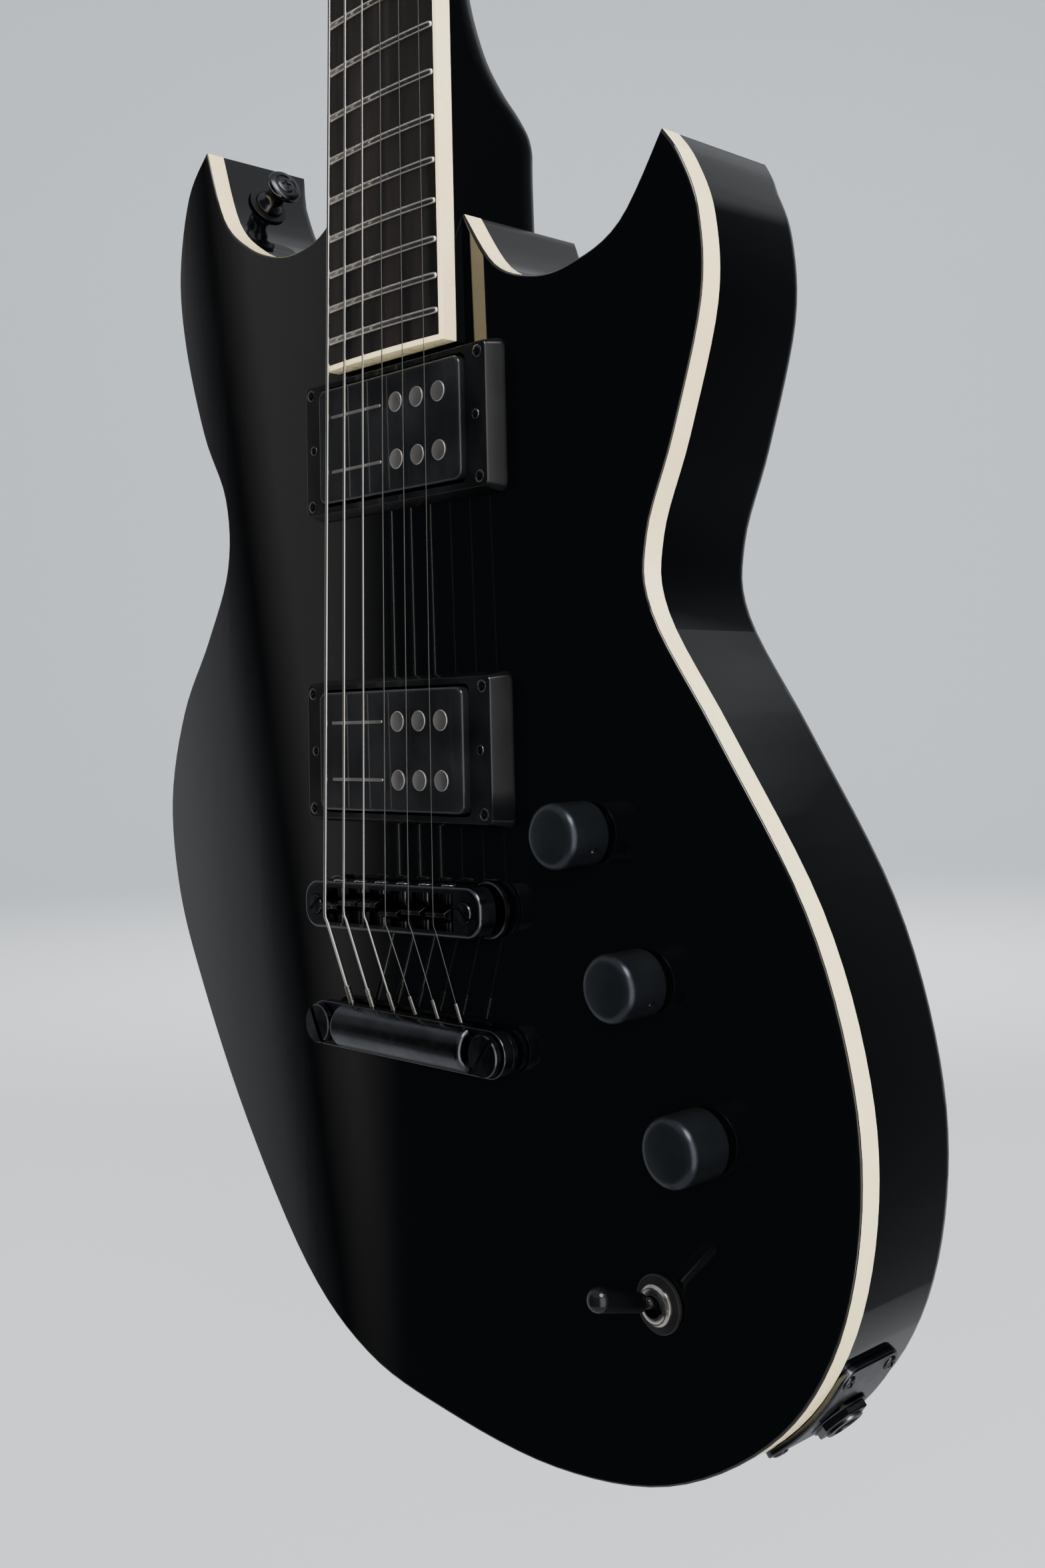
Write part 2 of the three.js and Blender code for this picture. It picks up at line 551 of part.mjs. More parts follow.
// ---------------------------------------------------------------- controls
function makeControls() {
  KNOBS.forEach(([x, z], i) => {
    const base = 1.1;
    const top = base + KNOB_HEIGHT;
    const knob = turned([
      [3.2, base + 3.2], [7, base + 3.2], [7, base], [KNOB_RADIUS, base], [KNOB_RADIUS, top - 2.4],
      [KNOB_RADIUS - 0.9, top - 1.1], [KNOB_RADIUS - 2.6, top - 0.4], [0, top], [0, top - 3], [3.2, top - 3],
      [3.2, base + 3.2],
    ], 20);
    part(`knob_${i + 1}`, knob, SATIN_KNOB, placed(x, arch(x), z));
    const can = 0.9;
    const pot = turned([
      [0, -CAP - can - 10], [12, -CAP - can - 10], [12, -CAP - can], [4.2, -CAP - can],
      [4.2, 3.6], [2.9, 3.6], [2.9, 12.6], [0, 12.6],
    ]);
    part(`potentiometer_${i + 1}`, pot, STEEL, placed(x, arch(x), z));
  });

  const { x, z, tilt, reach } = SWITCH;
  const toggle = placed(x, arch(x), z);
  const housing = box(17, 26, 30, 0, CAP + 1 + 13, 0);
  const bushing = bar(4.7, -3.2, CAP + 5, 0, 0, 16);
  const leverBore = turned([[0, -9], [3.5, -9], [3.5, 6], [0, 6]], 12);
  part('switch_body', cut(join(housing, bushing), leverBore), STEEL, toggle);
  const washer = turned([
    [5, 0.4], [7.8, 0.4], [7.8, 1.5], [5.8, 1.5], [5.8, 3.6], [5, 3.6], [5, 0.4],
  ], 20);
  part('switch_nut', washer, NICKEL, toggle);
  const lever = turned([
    [0, -5], [1.4, -5], [2.3, -1], [2.3, 0.8], [1.5, 2], [1.5, 6.6], [2.5, 7.4],
    [3.3, reach - 4], [2.9, reach - 1.2], [0, reach],
  ], 12);
  const stick = placed(0, -0.5, 0, toggle);
  stick.rotation.x = -tilt;
  part('switch_lever', lever, BLACK_PLASTIC, stick);
}

// ---------------------------------------------------------------- jack and strap buttons
// Pieces on the side of the body: the profile's height points out of the side.
function onSide(name, geometry, material, { x, y, z, turn }) {
  const piece = part(name, geometry.rotateZ(Math.PI / 2), material, placed(x, y, z));
  piece.rotation.y = turn;
}

function makeSideFittings() {
  const bend = cut(slab(inset(OUTLINE, -1.9), 12.5, 37.5), slab(inset(OUTLINE, -GAP), 11, 42));
  const window = box(60, 40, 39.5, 0, 0, 1).rotateY(JACK.turn).translate(JACK.x, JACK.y, JACK.z);
  const plate = common(bend, window);
  part('jack_plate', cut(plate, sideBore(6.2, -30, 12, JACK)), BLACK_METAL);
  const socket = turned([
    [3.3, -20], [5.7, -20], [5.7, 3], [7.6, 3], [7.6, 5.2], [5.6, 5.2], [5.6, 6.4], [3.3, 6.4], [3.3, -20],
  ]);
  onSide('jack_socket', socket, BLACK_METAL, JACK);
  for (const [name, place] of [['upper', STRAP_UPPER], ['lower', STRAP_LOWER]]) {
    const button = turned([
      [0, -22], [1.5, -22], [1.5, 0.8], [5.6, 0.8], [5.4, 2.4], [3.4, 4.2], [3.4, 8.4], [6.6, 10.6],
      [6.8, 12], [6, 13.2], [0, 13.6],
    ]);
    onSide(`strap_button_${name}`, button, BLACK_METAL, place);
  }
}

// ---------------------------------------------------------------- strings
// A route whose steps fall on its own points, so that bends stay sharp and straights stay cheap.
class StringRoute extends THREE.Curve {
  constructor(points) {
    super();
    this.points = points.map((point) => new THREE.Vector3(...point));
  }

  getPoint(t, target = new THREE.Vector3()) {
    const place = THREE.MathUtils.clamp(t, 0, 1) * (this.points.length - 1);
    const step = Math.min(Math.floor(place), this.points.length - 2);
    return target.lerpVectors(this.points[step], this.points[step + 1], place - step);
  }

  getUtoTmapping(u) {
    return u;
  }
}

function stringRoute(i) {
  const saddleX = spread(BRIDGE_SPREAD, i);
  const nutX = spread(NUT_SPREAD, i);
  const saddleY = STRING_AT_SADDLE_Y - stringCrown(saddleX);
  const bendZ = BRIDGE_Z + saddleX * Math.tan(BRIDGE_SLANT) + SADDLE_SHIFT[i] - 2.4;
  const slope = (STRING_AT_NUT_Y - saddleY) / SCALE;
  const { x, z, side } = TUNERS.find((tuner) => tuner.string === i);
  const radius = 3.1 + GAP + STRING_DIAMETERS[i] / 2;
  const post = new THREE.Vector3(x - side * radius, -7, z).applyMatrix4(head.matrix);
  return [
    [saddleX, TAIL_HOLE_Y, TAIL_Z - 4],
    [saddleX, TAIL_HOLE_Y, TAIL_Z + 7],
    [saddleX, TAIL_HOLE_Y - 0.6, TAIL_Z + 8.5],
    [saddleX, saddleY + 0.9, bendZ - 2.4],
    [saddleX, saddleY + bendZ * slope + 0.15, bendZ - 0.8],
    [saddleX, saddleY + (bendZ + 0.6) * slope, bendZ + 0.6],
    [(saddleX + nutX) / 2, (saddleY + STRING_AT_NUT_Y) / 2, SCALE / 2],
    [nutX, STRING_AT_NUT_Y, SCALE],
    [nutX, STRING_AT_NUT_Y, SCALE + NUT_LENGTH - 1],
    [nutX, STRING_AT_NUT_Y + 0.4, SCALE + NUT_LENGTH + 1],
    post.toArray(),
  ];
}

function makeStrings() {
  for (let i = 0; i < STRING_COUNT; i += 1) {
    const route = stringRoute(i);
    const section = new THREE.Shape().absarc(0, 0, STRING_DIAMETERS[i] / 2, 0, 2 * Math.PI);
    const tube = new THREE.ExtrudeGeometry(section, {
      extrudePath: new StringRoute(route), steps: route.length - 1, curveSegments: 4, bevelEnabled: false,
    });
    part(`string_${STRING_COUNT - i}`, tube, i < 3 ? NICKEL : STEEL);
  }
}

makeBody();
makeNeck();
makeBoard();
makeTuners();
makeBridge();
makeTailpiece();
makePickups();
makeControls();
makeSideFittings();
makeStrings();

export default guitar;
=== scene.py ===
"""A black electric guitar with two pickups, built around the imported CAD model.

Shapes are in millimetres: X runs to the treble side, Y from the front to the back, and Z up the neck from
the saddle line. make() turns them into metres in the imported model's frame, whose origin is at the nut.
"""
import json
import math

import bmesh
import bpy
from mathutils import Matrix, Vector


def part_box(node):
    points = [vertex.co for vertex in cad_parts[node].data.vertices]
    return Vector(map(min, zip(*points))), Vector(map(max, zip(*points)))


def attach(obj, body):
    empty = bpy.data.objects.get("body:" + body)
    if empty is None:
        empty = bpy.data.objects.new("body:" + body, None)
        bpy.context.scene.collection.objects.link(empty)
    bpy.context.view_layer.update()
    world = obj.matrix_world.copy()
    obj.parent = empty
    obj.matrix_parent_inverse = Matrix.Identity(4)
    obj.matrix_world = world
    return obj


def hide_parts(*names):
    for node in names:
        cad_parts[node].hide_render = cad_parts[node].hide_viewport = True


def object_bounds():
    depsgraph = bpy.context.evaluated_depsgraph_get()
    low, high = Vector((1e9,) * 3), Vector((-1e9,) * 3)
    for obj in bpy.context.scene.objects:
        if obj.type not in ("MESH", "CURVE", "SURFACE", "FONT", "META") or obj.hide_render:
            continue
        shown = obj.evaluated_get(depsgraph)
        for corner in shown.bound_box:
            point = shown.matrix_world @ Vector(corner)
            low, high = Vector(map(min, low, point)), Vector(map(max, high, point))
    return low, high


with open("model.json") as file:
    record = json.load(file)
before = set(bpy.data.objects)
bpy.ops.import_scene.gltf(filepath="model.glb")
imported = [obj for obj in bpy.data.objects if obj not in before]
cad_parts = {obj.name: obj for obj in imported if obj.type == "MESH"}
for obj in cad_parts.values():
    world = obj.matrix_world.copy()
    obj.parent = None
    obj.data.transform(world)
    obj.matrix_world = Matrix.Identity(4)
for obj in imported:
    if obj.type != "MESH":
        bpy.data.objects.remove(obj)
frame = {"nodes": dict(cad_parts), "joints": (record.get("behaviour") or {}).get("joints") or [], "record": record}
cad_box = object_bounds()

MM = 0.001
MOUNTS = {mount["name"]: mount for mount in frame["record"]["mounts"]}
JOINTS = {joint["name"]: joint for joint in frame["joints"]}
SCALE = -MOUNTS["body_back"]["pos_m"][2] / MM     # from the nut, at the row's origin, to the saddle line
TO_SADDLE_LINE = Vector((0, 0, SCALE))
GAP = 0.15                                        # between pieces that touch


def cad(node):
    """The lowest and highest corners of a CAD node, in millimetres."""
    low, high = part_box(node)
    return low / MM + TO_SADDLE_LINE, high / MM + TO_SADDLE_LINE


def middle(node):
    low, high = cad(node)
    return (low + high) / 2


def joint_place(name):
    return Vector(JOINTS[name]["pos_m"]) / MM + TO_SADDLE_LINE


# ---------------------------------------------------------------- camera, backdrop and light
def show(thing):
    bpy.context.scene.collection.objects.link(thing)


def make_camera():
    """Stands low on the treble side and looks slightly up across the body."""
    azimuth, climb, roll = math.radians(46.24), math.radians(3.78), math.radians(-1.39)
    place = Matrix.Translation((0.38285, -0.31275, -0.57445))
    forward = Vector((
        -math.sin(azimuth) * math.cos(climb), math.cos(azimuth) * math.cos(climb), math.sin(climb),
    ))
    level = Vector((math.cos(azimuth), math.sin(azimuth), 0))
    upright = level.cross(forward)
    right = level * math.cos(roll) + upright * math.sin(roll)
    turn = Matrix((right, right.cross(forward), -forward)).transposed()
    data = bpy.data.cameras.new("camera")
    data.lens = 36.745
    data.shift_x = -0.0083
    data.shift_y = -0.108
    data.clip_start = 0.01
    camera = bpy.data.objects.new("camera", data)
    camera.matrix_world = place @ turn.to_4x4()
    show(camera)
    bpy.context.scene.camera = camera


def make_backdrop():
    """A round floor that curves up into a far wall. The lacquer mirrors the world's soft zones instead."""
    floor = cad_box[0].z - 0.3
    flat, curve, wall, sides = 5, 3, 12, 96
    profile = [(0.01, floor), (flat, floor)]
    for turn in quarter(12)[1:]:
        profile.append((flat + curve * math.sin(turn), floor + curve * (1 - math.cos(turn))))
    profile.append((flat + curve, floor + wall))
    points = []
    for radius, height in profile:
        for side in range(sides):
            angle = math.tau * side / sides
            points.append((radius * math.cos(angle), radius * math.sin(angle), height))
    faces = ring_faces(len(profile), sides) + [list(range(sides))[::-1]]
    mesh = bpy.data.meshes.new("backdrop")
    mesh.from_pydata(points, [], faces)
    mesh.shade_smooth()
    paint = bpy.data.materials.new("backdrop_paint")
    paint.use_nodes = True
    shader = paint.node_tree.nodes["Principled BSDF"]
    shader.inputs["Base Color"].default_value = (0.56, 0.59, 0.62, 1)
    shader.inputs["Roughness"].default_value = 1
    shader.inputs["Specular IOR Level"].default_value = 0
    mesh.materials.append(paint)
    backdrop = bpy.data.objects.new("backdrop", mesh)
    backdrop.visible_glossy = False
    show(backdrop)


def make_light(name, place, target, size, power, color=(1, 1, 1), mirrored=True):
    data = bpy.data.lights.new(name, "AREA")
    data.shape = "DISK"
    data.size = size
    data.energy = power
    data.color = color
    light = bpy.data.objects.new(name, data)
    aim = Vector(target) - Vector(place)
    light.matrix_world = Matrix.Translation(place) @ aim.to_track_quat("-Z", "Y").to_matrix().to_4x4()
    light.visible_glossy = mirrored
    light.visible_camera = False
    show(light)


def make_lights():
    body = (0, 0, -0.6)
    make_light("key", (1.5, -0.3, 1.3), body, 1.3, 42, (1, 0.985, 0.96))
    make_light("left_fill", (-2.2, -2.2, 0.4), body, 2.4, 60, mirrored=False)
    make_light("front_fill", (2.2, -2, 0.2), body, 2, 170, (1, 0.98, 0.95), mirrored=False)
    make_light("back_left", (-2, 2.2, 1.2), body, 2, 60, mirrored=False)
    make_light("back_right", (2.4, 2, 0.4), body, 2, 60, mirrored=False)
    make_light("overhead", (0, 0, 5), body, 5, 150, mirrored=False)
    make_light("wall_wash", (-1, 1.4, 2.2), (-6, 6.5, 2.2), 3, 300, mirrored=False)


def add_node(tree, kind, inputs, **settings):
    """A shader node; each input is given a value, or linked to another node's socket."""
    node = tree.nodes.new(kind)
    for key, value in settings.items():
        setattr(node, key, value)
    for key, value in inputs.items():
        if isinstance(value, bpy.types.NodeSocket):
            tree.links.new(value, node.inputs[key])
        else:
            node.inputs[key].default_value = value
    return node


def mixed(tree, share, first, second):
    """A blend of two colours, each a tuple or a socket."""
    inputs = {"Factor": share}
    for key, color in (("A", first), ("B", second)):
        inputs[key] = (*color, 1) if isinstance(color, tuple) else color
    return add_node(tree, "ShaderNodeMix", inputs, data_type="RGBA").outputs["Result"]


def ramp(tree, factor, stops):
    """A colour ramp over (place, colour) stops."""
    node = tree.nodes.new("ShaderNodeValToRGB")
    elements = node.color_ramp.elements
    elements.remove(elements[1])
    for index, (place, color) in enumerate(stops):
        element = elements[0] if index == 0 else elements.new(place)
        element.position = place
        element.color = (*color, 1)
    tree.links.new(factor, node.inputs["Fac"])
    return node.outputs["Color"]


def make_world():
    """What the lacquer and the metal mirror: a dark room with a window on the treble side.

    It's paler to the bass side, overhead and below. The pale bass side begins with a dark upright that
    leans, so a second ramp follows the leaning angle.
    """
    world = bpy.data.worlds.new("room")
    bpy.context.scene.world = world
    world.use_nodes = True
    tree = world.node_tree

    def calculate(operation, first, second):
        return add_node(tree, "ShaderNodeMath", {0: first, 1: second}, operation=operation).outputs[0]

    direction = tree.nodes.new("ShaderNodeTexCoord").outputs["Generated"]
    x, y, z = add_node(tree, "ShaderNodeSeparateXYZ", {0: direction}).outputs
    # 0 at the back, 0.5 straight in front, rising to 1 by way of the bass side
    angle = calculate("ARCTAN2", calculate("MULTIPLY", x, -1), calculate("MULTIPLY", y, -1))
    around = calculate("ADD", calculate("DIVIDE", angle, math.tau), 0.5)
    lean = 0.039
    leaning = calculate("ADD", around, calculate("MULTIPLY", z, -lean))
    black, white = (0, 0, 0), (1, 1, 1)
    dark, grey = (0.015, 0.017, 0.02), (0.4, 0.41, 0.43)
    wall, window = (0.23, 0.22, 0.215), (2.1, 2.05, 2)
    upright = (0.003, 0.003, 0.003)
    front = ramp(tree, around, [
        (0.0, grey), (0.05, (0.12, 0.124, 0.13)), (0.12, (0.02, 0.021, 0.023)),
        (0.19, (0.05, 0.052, 0.055)), (0.23, window), (0.33, window), (0.37, (0.1, 0.1, 0.105)),
        (0.48, (0.04, 0.045, 0.05)), (0.56, dark), (0.645, dark), (0.655, wall), (1.0, wall),
    ])
    side = ramp(tree, leaning, [
        (0.665, upright), (0.67, upright), (0.675, (0.24, 0.24, 0.25)), (0.688, (0.42, 0.425, 0.44)),
        (0.78, (0.5, 0.51, 0.53)), (0.9, (0.22, 0.225, 0.23)), (1.0, grey),
    ])
    beyond = ramp(tree, leaning, [(0.662, black), (0.666, white)])
    height = calculate("ADD", calculate("MULTIPLY", z, 0.5), 0.5)
    above = ramp(tree, height, [(0.0, black), (0.75, black), (0.79, white)])
    below = ramp(tree, height, [(0.0, white), (0.14, white), (0.21, black)])
    room = mixed(tree, beyond, front, side)
    room = mixed(tree, above, room, (0.38, 0.39, 0.41))
    room = mixed(tree, below, room, (0.48, 0.48, 0.49))
    background = tree.nodes["Background"]
    tree.links.new(room, background.inputs["Color"])
    background.inputs["Strength"].default_value = 1


# ---------------------------------------------------------------- finishes
class Finish:
    """A procedural material, and the record's material slot that it stands for."""

    def __init__(self, name, slot, color, **shader):
        self.slot = slot
        self.material = bpy.data.materials.new(name)
        self.material.use_nodes = True
        self.tree = self.material.node_tree
        self.shader = self.tree.nodes["Principled BSDF"]
        self.shader.inputs["Base Color"].default_value = (*color, 1)
        for key, value in shader.items():
            self.shader.inputs[key.replace("_", " ").title().replace("Ior", "IOR")].default_value = value
        self.place = self.tree.nodes.new("ShaderNodeTexCoord").outputs["Object"]

    def add(self, kind, inputs, **settings):
        return add_node(self.tree, kind, inputs, **settings)

    def noise(self, per_metre, stretch=(1, 1, 1), detail=3):
        """Noise with that many features to the metre; stretch makes them finer along an axis."""
        place = self.add("ShaderNodeMapping", {"Vector": self.place, "Scale": stretch})
        inputs = {"Vector": place.outputs[0], "Scale": per_metre, "Detail": detail}
        return self.add("ShaderNodeTexNoise", inputs).outputs["Fac"]

    def speckles(self, per_metre, size):
        """1 at scattered specks and 0 between them."""
        cells = self.add("ShaderNodeTexVoronoi", {"Vector": self.place, "Scale": per_metre})
        return self.remap(cells.outputs["Distance"], 0, size, 1, 0)

    def remap(self, value, low, high, to_low, to_high):
        inputs = {"Value": value, "From Min": low, "From Max": high, "To Min": to_low, "To Max": to_high}
        return self.add("ShaderNodeMapRange", inputs).outputs["Result"]

    def roughness(self, value, smooth, rough):
        self.tree.links.new(self.remap(value, 0.3, 0.7, smooth, rough), self.shader.inputs["Roughness"])
        return self

    def colors(self, value, first, second, low=0.35, high=0.65):
        share = self.remap(value, low, high, 0, 1)
        self.tree.links.new(mixed(self.tree, share, first, second), self.shader.inputs["Base Color"])
        return self

    def bump(self, *layers):
        """Each layer is (height value, depth in millimetres)."""
        normal = None
        for value, depth in layers:
            inputs = {"Height": value, "Distance": depth * MM}
            if normal:
                inputs["Normal"] = normal
            normal = self.add("ShaderNodeBump", inputs).outputs["Normal"]
        self.tree.links.new(normal, self.shader.inputs["Normal"])
        return self


def lacquer():
    """Deep black gloss with a faint ripple, a little haze and fine dust under the coat."""
    finish = Finish(
        "black_lacquer", "black_lacquer", (0.0009, 0.0011, 0.0013), coat_weight=0.5, coat_roughness=0.02,
    )
    finish.roughness(finish.noise(9, detail=5), 0.035, 0.09)
    return finish.bump((finish.noise(130, detail=1), 0.004), (finish.speckles(900, 0.05), 0.002))


def cream():
    """Cream binding with a little yellowing and cloudiness."""
    finish = Finish(
        "cream_binding", "cream_plastic", (0.9, 0.74, 0.4), coat_weight=0.1, subsurface_weight=0.1,
    )
    finish.shader.inputs["Subsurface Radius"].default_value = (0.002, 0.0016, 0.001)
    finish.shader.inputs["Subsurface Scale"].default_value = 1
    finish.colors(finish.noise(28, detail=4), (0.95, 0.8, 0.48), (0.92, 0.74, 0.4))
    finish.roughness(finish.noise(300), 0.22, 0.4)
    return finish.bump((finish.noise(600, detail=2), 0.01))


def ebony():
    """Dark open-pored wood, its streaks and pores running up the neck."""
    finish = Finish("ebony", "ebony", (0.006, 0.005, 0.005), specular_ior_level=0.3)
    streaks = finish.noise(140, (1, 1, 0.06), 5)
    finish.colors(streaks, (0.0022, 0.002, 0.002), (0.014, 0.011, 0.01), 0.3, 0.75)
    pores = finish.remap(finish.noise(2600, (1, 1, 0.035), 2), 0.6, 0.72, 0, 1)
    finish.roughness(finish.noise(500, (1, 1, 0.1)), 0.42, 0.62)
    return finish.bump((pores, -0.05), (finish.noise(900, (1, 1, 0.05)), 0.02))


def metal(name, slot, dark, light, smooth, rough, grain=0.006, cloud=350):
    """Plated or polished metal: cloudy wear in its colour and polish, and fine hairlines."""
    finish = Finish(name, slot, light, metallic=1)
    finish.colors(finish.noise(120, detail=5), dark, light)
    finish.roughness(finish.noise(cloud, detail=4), smooth, rough)
    return finish.bump((finish.noise(1800, (1, 1, 0.3), 2), grain))


def plastic(name, slot, color, smooth, rough, grain):
    """Moulded plastic with a fine grain and a little wear in its sheen."""
    finish = Finish(name, slot, color)
    lighter = tuple(channel * 1.6 + 0.002 for channel in color)
    finish.colors(finish.noise(60, detail=4), color, lighter)
    finish.roughness(finish.noise(220, detail=4), smooth, rough)
    return finish.bump((finish.noise(2400, detail=2), grain))


def knob_finish():
    """Satin dark grey, blasted before it was plated."""
    finish = Finish("satin_grey", "satin_knob", (0.04, 0.046, 0.055), metallic=0.9)
    finish.colors(finish.noise(90, detail=4), (0.036, 0.042, 0.05), (0.044, 0.05, 0.06))
    finish.roughness(finish.noise(90, detail=2), 0.27, 0.32)
    return finish.bump((finish.noise(3200, detail=2), 0.003))


def wound_wire():
    """Nickel wire wound round a core: fine ridges across the string."""
    finish = Finish("wound_string", "nickel", (0.8, 0.77, 0.7), metallic=1)
    ridges = finish.add("ShaderNodeTexWave", {"Vector": finish.place, "Scale": 1100}, bands_direction="Z")
    finish.colors(finish.noise(40), (0.78, 0.75, 0.69), (0.86, 0.83, 0.77))
    finish.roughness(finish.noise(60), 0.2, 0.28)
    return finish.bump((ridges.outputs["Fac"], 0.006))


LACQUER = lacquer()
CREAM = cream()
EBONY = ebony()
BLACK_METAL = metal(
    "black_plate", "black_metal", (0.08, 0.087, 0.098), (0.11, 0.117, 0.13), 0.18, 0.28, 0.002,
)
SCREW_METAL = metal("black_screw", "black_metal", (0.06, 0.06, 0.065), (0.14, 0.14, 0.15), 0.2, 0.4)
NICKEL = metal("nickel", "nickel", (0.56, 0.53, 0.48), (0.78, 0.75, 0.7), 0.14, 0.3)
POLE_NICKEL = metal("satin_nickel", "nickel", (0.72, 0.7, 0.67), (0.85, 0.83, 0.8), 0.3, 0.4)
FRET_NICKEL = metal("fret_wire", "nickel", (0.66, 0.62, 0.56), (0.76, 0.73, 0.68), 0.26, 0.3, 0.0005, 30)
STEEL = metal("steel", "steel", (0.5, 0.5, 0.5), (0.66, 0.66, 0.67), 0.2, 0.36)
PLAIN_WIRE = metal("plain_string", "steel", (0.18, 0.18, 0.18), (0.22, 0.22, 0.22), 0.16, 0.24, 0.001)
WOUND_WIRE = wound_wire()
RING_PLASTIC = plastic("ring_plastic", "black_plastic", (0.0012, 0.0014, 0.0017), 0.14, 0.22, 0.004)
COVER_PLASTIC = plastic("cover_plastic", "black_plastic", (0.004, 0.0043, 0.0046), 0.05, 0.1, 0.002)
SOFT_BLACK = plastic("soft_black", "black_plastic", (0.003, 0.003, 0.0035), 0.3, 0.5, 0.01)
GLOSS_TIP = plastic("gloss_tip", "black_plastic", (0.001, 0.0012, 0.0015), 0.1, 0.16, 0.002)
# Painted highlight: the intonation screws are black, and this pale metal colour stands in for the glints on their
# heads
PAINTED_GLINT_SCREW = metal("black_screw_painted_glint", "black_metal", (0.3, 0.29, 0.28), (0.6, 0.58, 0.56), 0.12, 0.26)
KNOB_GREY = knob_finish()


# ---------------------------------------------------------------- shapes
def ring_faces(rings, count):
    """Faces between rings of points of equal count."""
    faces = []
    for ring in range(rings - 1):
        for i in range(count):
            a, b = ring * count + i, ring * count + (i + 1) % count
            faces.append((a, b, b + count, a + count))
    return faces


class Shape:
    """Points in millimetres, and the faces between them."""

    def __init__(self, points, faces):
        self.points = [Vector(point) for point in points]
        self.faces = faces

    def __add__(self, other):
        shift = len(self.points)
        moved = [[i + shift for i in face] for face in other.faces]
        return Shape(self.points + other.points, self.faces + moved)

    def by(self, matrix):
        return Shape([matrix @ point for point in self.points], self.faces)

    def at(self, x=0, y=0, z=0):
        return self.by(Matrix.Translation((x, y, z)))

    def turned(self, degrees, axis):
        return self.by(Matrix.Rotation(math.radians(degrees), 4, axis))


def loft(rings):
    """Rings of equal count joined into one closed body."""
    count = len(rings[0])
    last = (len(rings) - 1) * count
    faces = ring_faces(len(rings), count)
    faces.append(list(range(count))[::-1])
    faces.append([last + i for i in range(count)])
    return Shape([point for ring in rings for point in ring], faces)


def tube(rings):
    """Rings of equal count joined end to end into one closed hoop."""
    count = len(rings[0])
    points = [point for ring in rings for point in ring]
    total = len(points)
    faces = [[i % total for i in face] for face in ring_faces(len(rings) + 1, count)]
    return Shape(points, faces)


def box(width, depth, height, x=0, y=0, z=0):
    half = [(-1, -1), (1, -1), (1, 1), (-1, 1)]
    rings = [[(x + a * width / 2, y + b * depth / 2, z + c * height / 2) for a, b in half] for c in (-1, 1)]
    return loft(rings)


def circle(sides):
    return [math.tau * side / sides for side in range(sides)]


def quarter(steps):
    """The angles from 0 to 90 degrees, in even steps."""
    return [math.radians(90 * step / steps) for step in range(steps + 1)]


def lathe(profile, sides=48):
    """Turned work: (radius, height) pairs, with the height rising out of the front, towards -Y."""
    rings = []
    for radius, height in profile:
        radius = max(radius, 0.01)
        rings.append([(radius * math.cos(turn), -height, radius * math.sin(turn)) for turn in circle(sides)])
    return loft(rings)


def hoop(profile, sides=48):
    """A turned ring: (radius, height) pairs round its section, with the height towards -Y."""
    turns = circle(sides)
    return tube([[(r * math.cos(turn), -h, r * math.sin(turn)) for r, h in profile] for turn in turns])


def arc(x, z, radius, start, end, steps):
    """Points on an arc, its angles in degrees anticlockwise from +X towards +Z."""
    turns = [math.radians(start + (end - start) * step / steps) for step in range(steps + 1)]
    return [(x + radius * math.cos(turn), z + radius * math.sin(turn)) for turn in turns]


def hexagon(radius):
    return arc(0, 0, radius, 0, 300, 5)


def rounded_rectangle(width, height, radius, x=0, z=0, steps=6):
    w, h = width / 2 - radius, height / 2 - radius
    corners = [(w, h), (-w, h), (-w, -h), (w, -h)]
    points = []
    for quarter, (cx, cz) in enumerate(corners):
        points += arc(x + cx, z + cz, radius, 90 * quarter, 90 * quarter + 90, steps)
    return points


def smooth_run(points, steps):
    """A smooth curve through the points, without the first one."""
    points = [Vector(point) for point in points]
    run = []
    for i in range(len(points) - 1):
        before, start, end = points[max(i - 1, 0)], points[i], points[i + 1]
        after = points[min(i + 2, len(points) - 1)]
        v0, v1 = (end - before) / 2, (after - start) / 2
        cubic, square = 2 * start - 2 * end + v0 + v1, 3 * end - 3 * start - 2 * v0 - v1
        for step in range(1, steps + 1):
            t = step / steps
            run.append(cubic * t ** 3 + square * t ** 2 + v0 * t + start)
    return run


def inset(outline, distance):
    """The outline moved inwards by an even distance; sharp corners are kept from running away."""
    points = [Vector(point) for point in outline]
    moved = []
    for i, point in enumerate(points):
        before, after = points[i - 1], points[(i + 1) % len(points)]
        n1 = Vector((before.y - point.y, point.x - before.x)).normalized()
        n2 = Vector((point.y - after.y, after.x - point.x)).normalized()
        moved.append(point + (n1 + n2) * distance / max(1 + n1.dot(n2), 0.6))
    return moved


def layers(outline, steps):
    """The outline stacked along Y: (inset, y) pairs from the front to the back."""
    return loft([[(p[0], y, p[1]) for p in inset(outline, margin)] for margin, y in steps])


def rounded_steps(front, back, front_round, back_round, steps=4):
    """(inset, y) pairs of a slab with rounded edges in front and behind."""
    pairs = []
    for turn in quarter(steps):
        pairs.append((front_round * (1 - math.sin(turn)), front + front_round * (1 - math.cos(turn))))
    for turn in quarter(steps):
        pairs.append((back_round * (1 - math.cos(turn)), back - back_round * (1 - math.sin(turn))))
    return pairs


def mirrored(points):
    """The other half of an outline, back from its last point."""
    return [Vector((-point.x, point.y)) for point in reversed(points)]


FRONT = (0, -1, 0)
BACK = (0, 1, 0)


def facing(direction, place):
    """Turns a piece that faces the front to face another way, and puts it in place."""
    turn = Vector(FRONT).rotation_difference(Vector(direction))
    return Matrix.Translation(place) @ turn.to_matrix().to_4x4()


def apply_modifiers(piece):
    graph = bpy.context.evaluated_depsgraph_get()
    mesh = bpy.data.meshes.new_from_object(piece.evaluated_get(graph))
    piece.modifiers.clear()
    piece.data = mesh


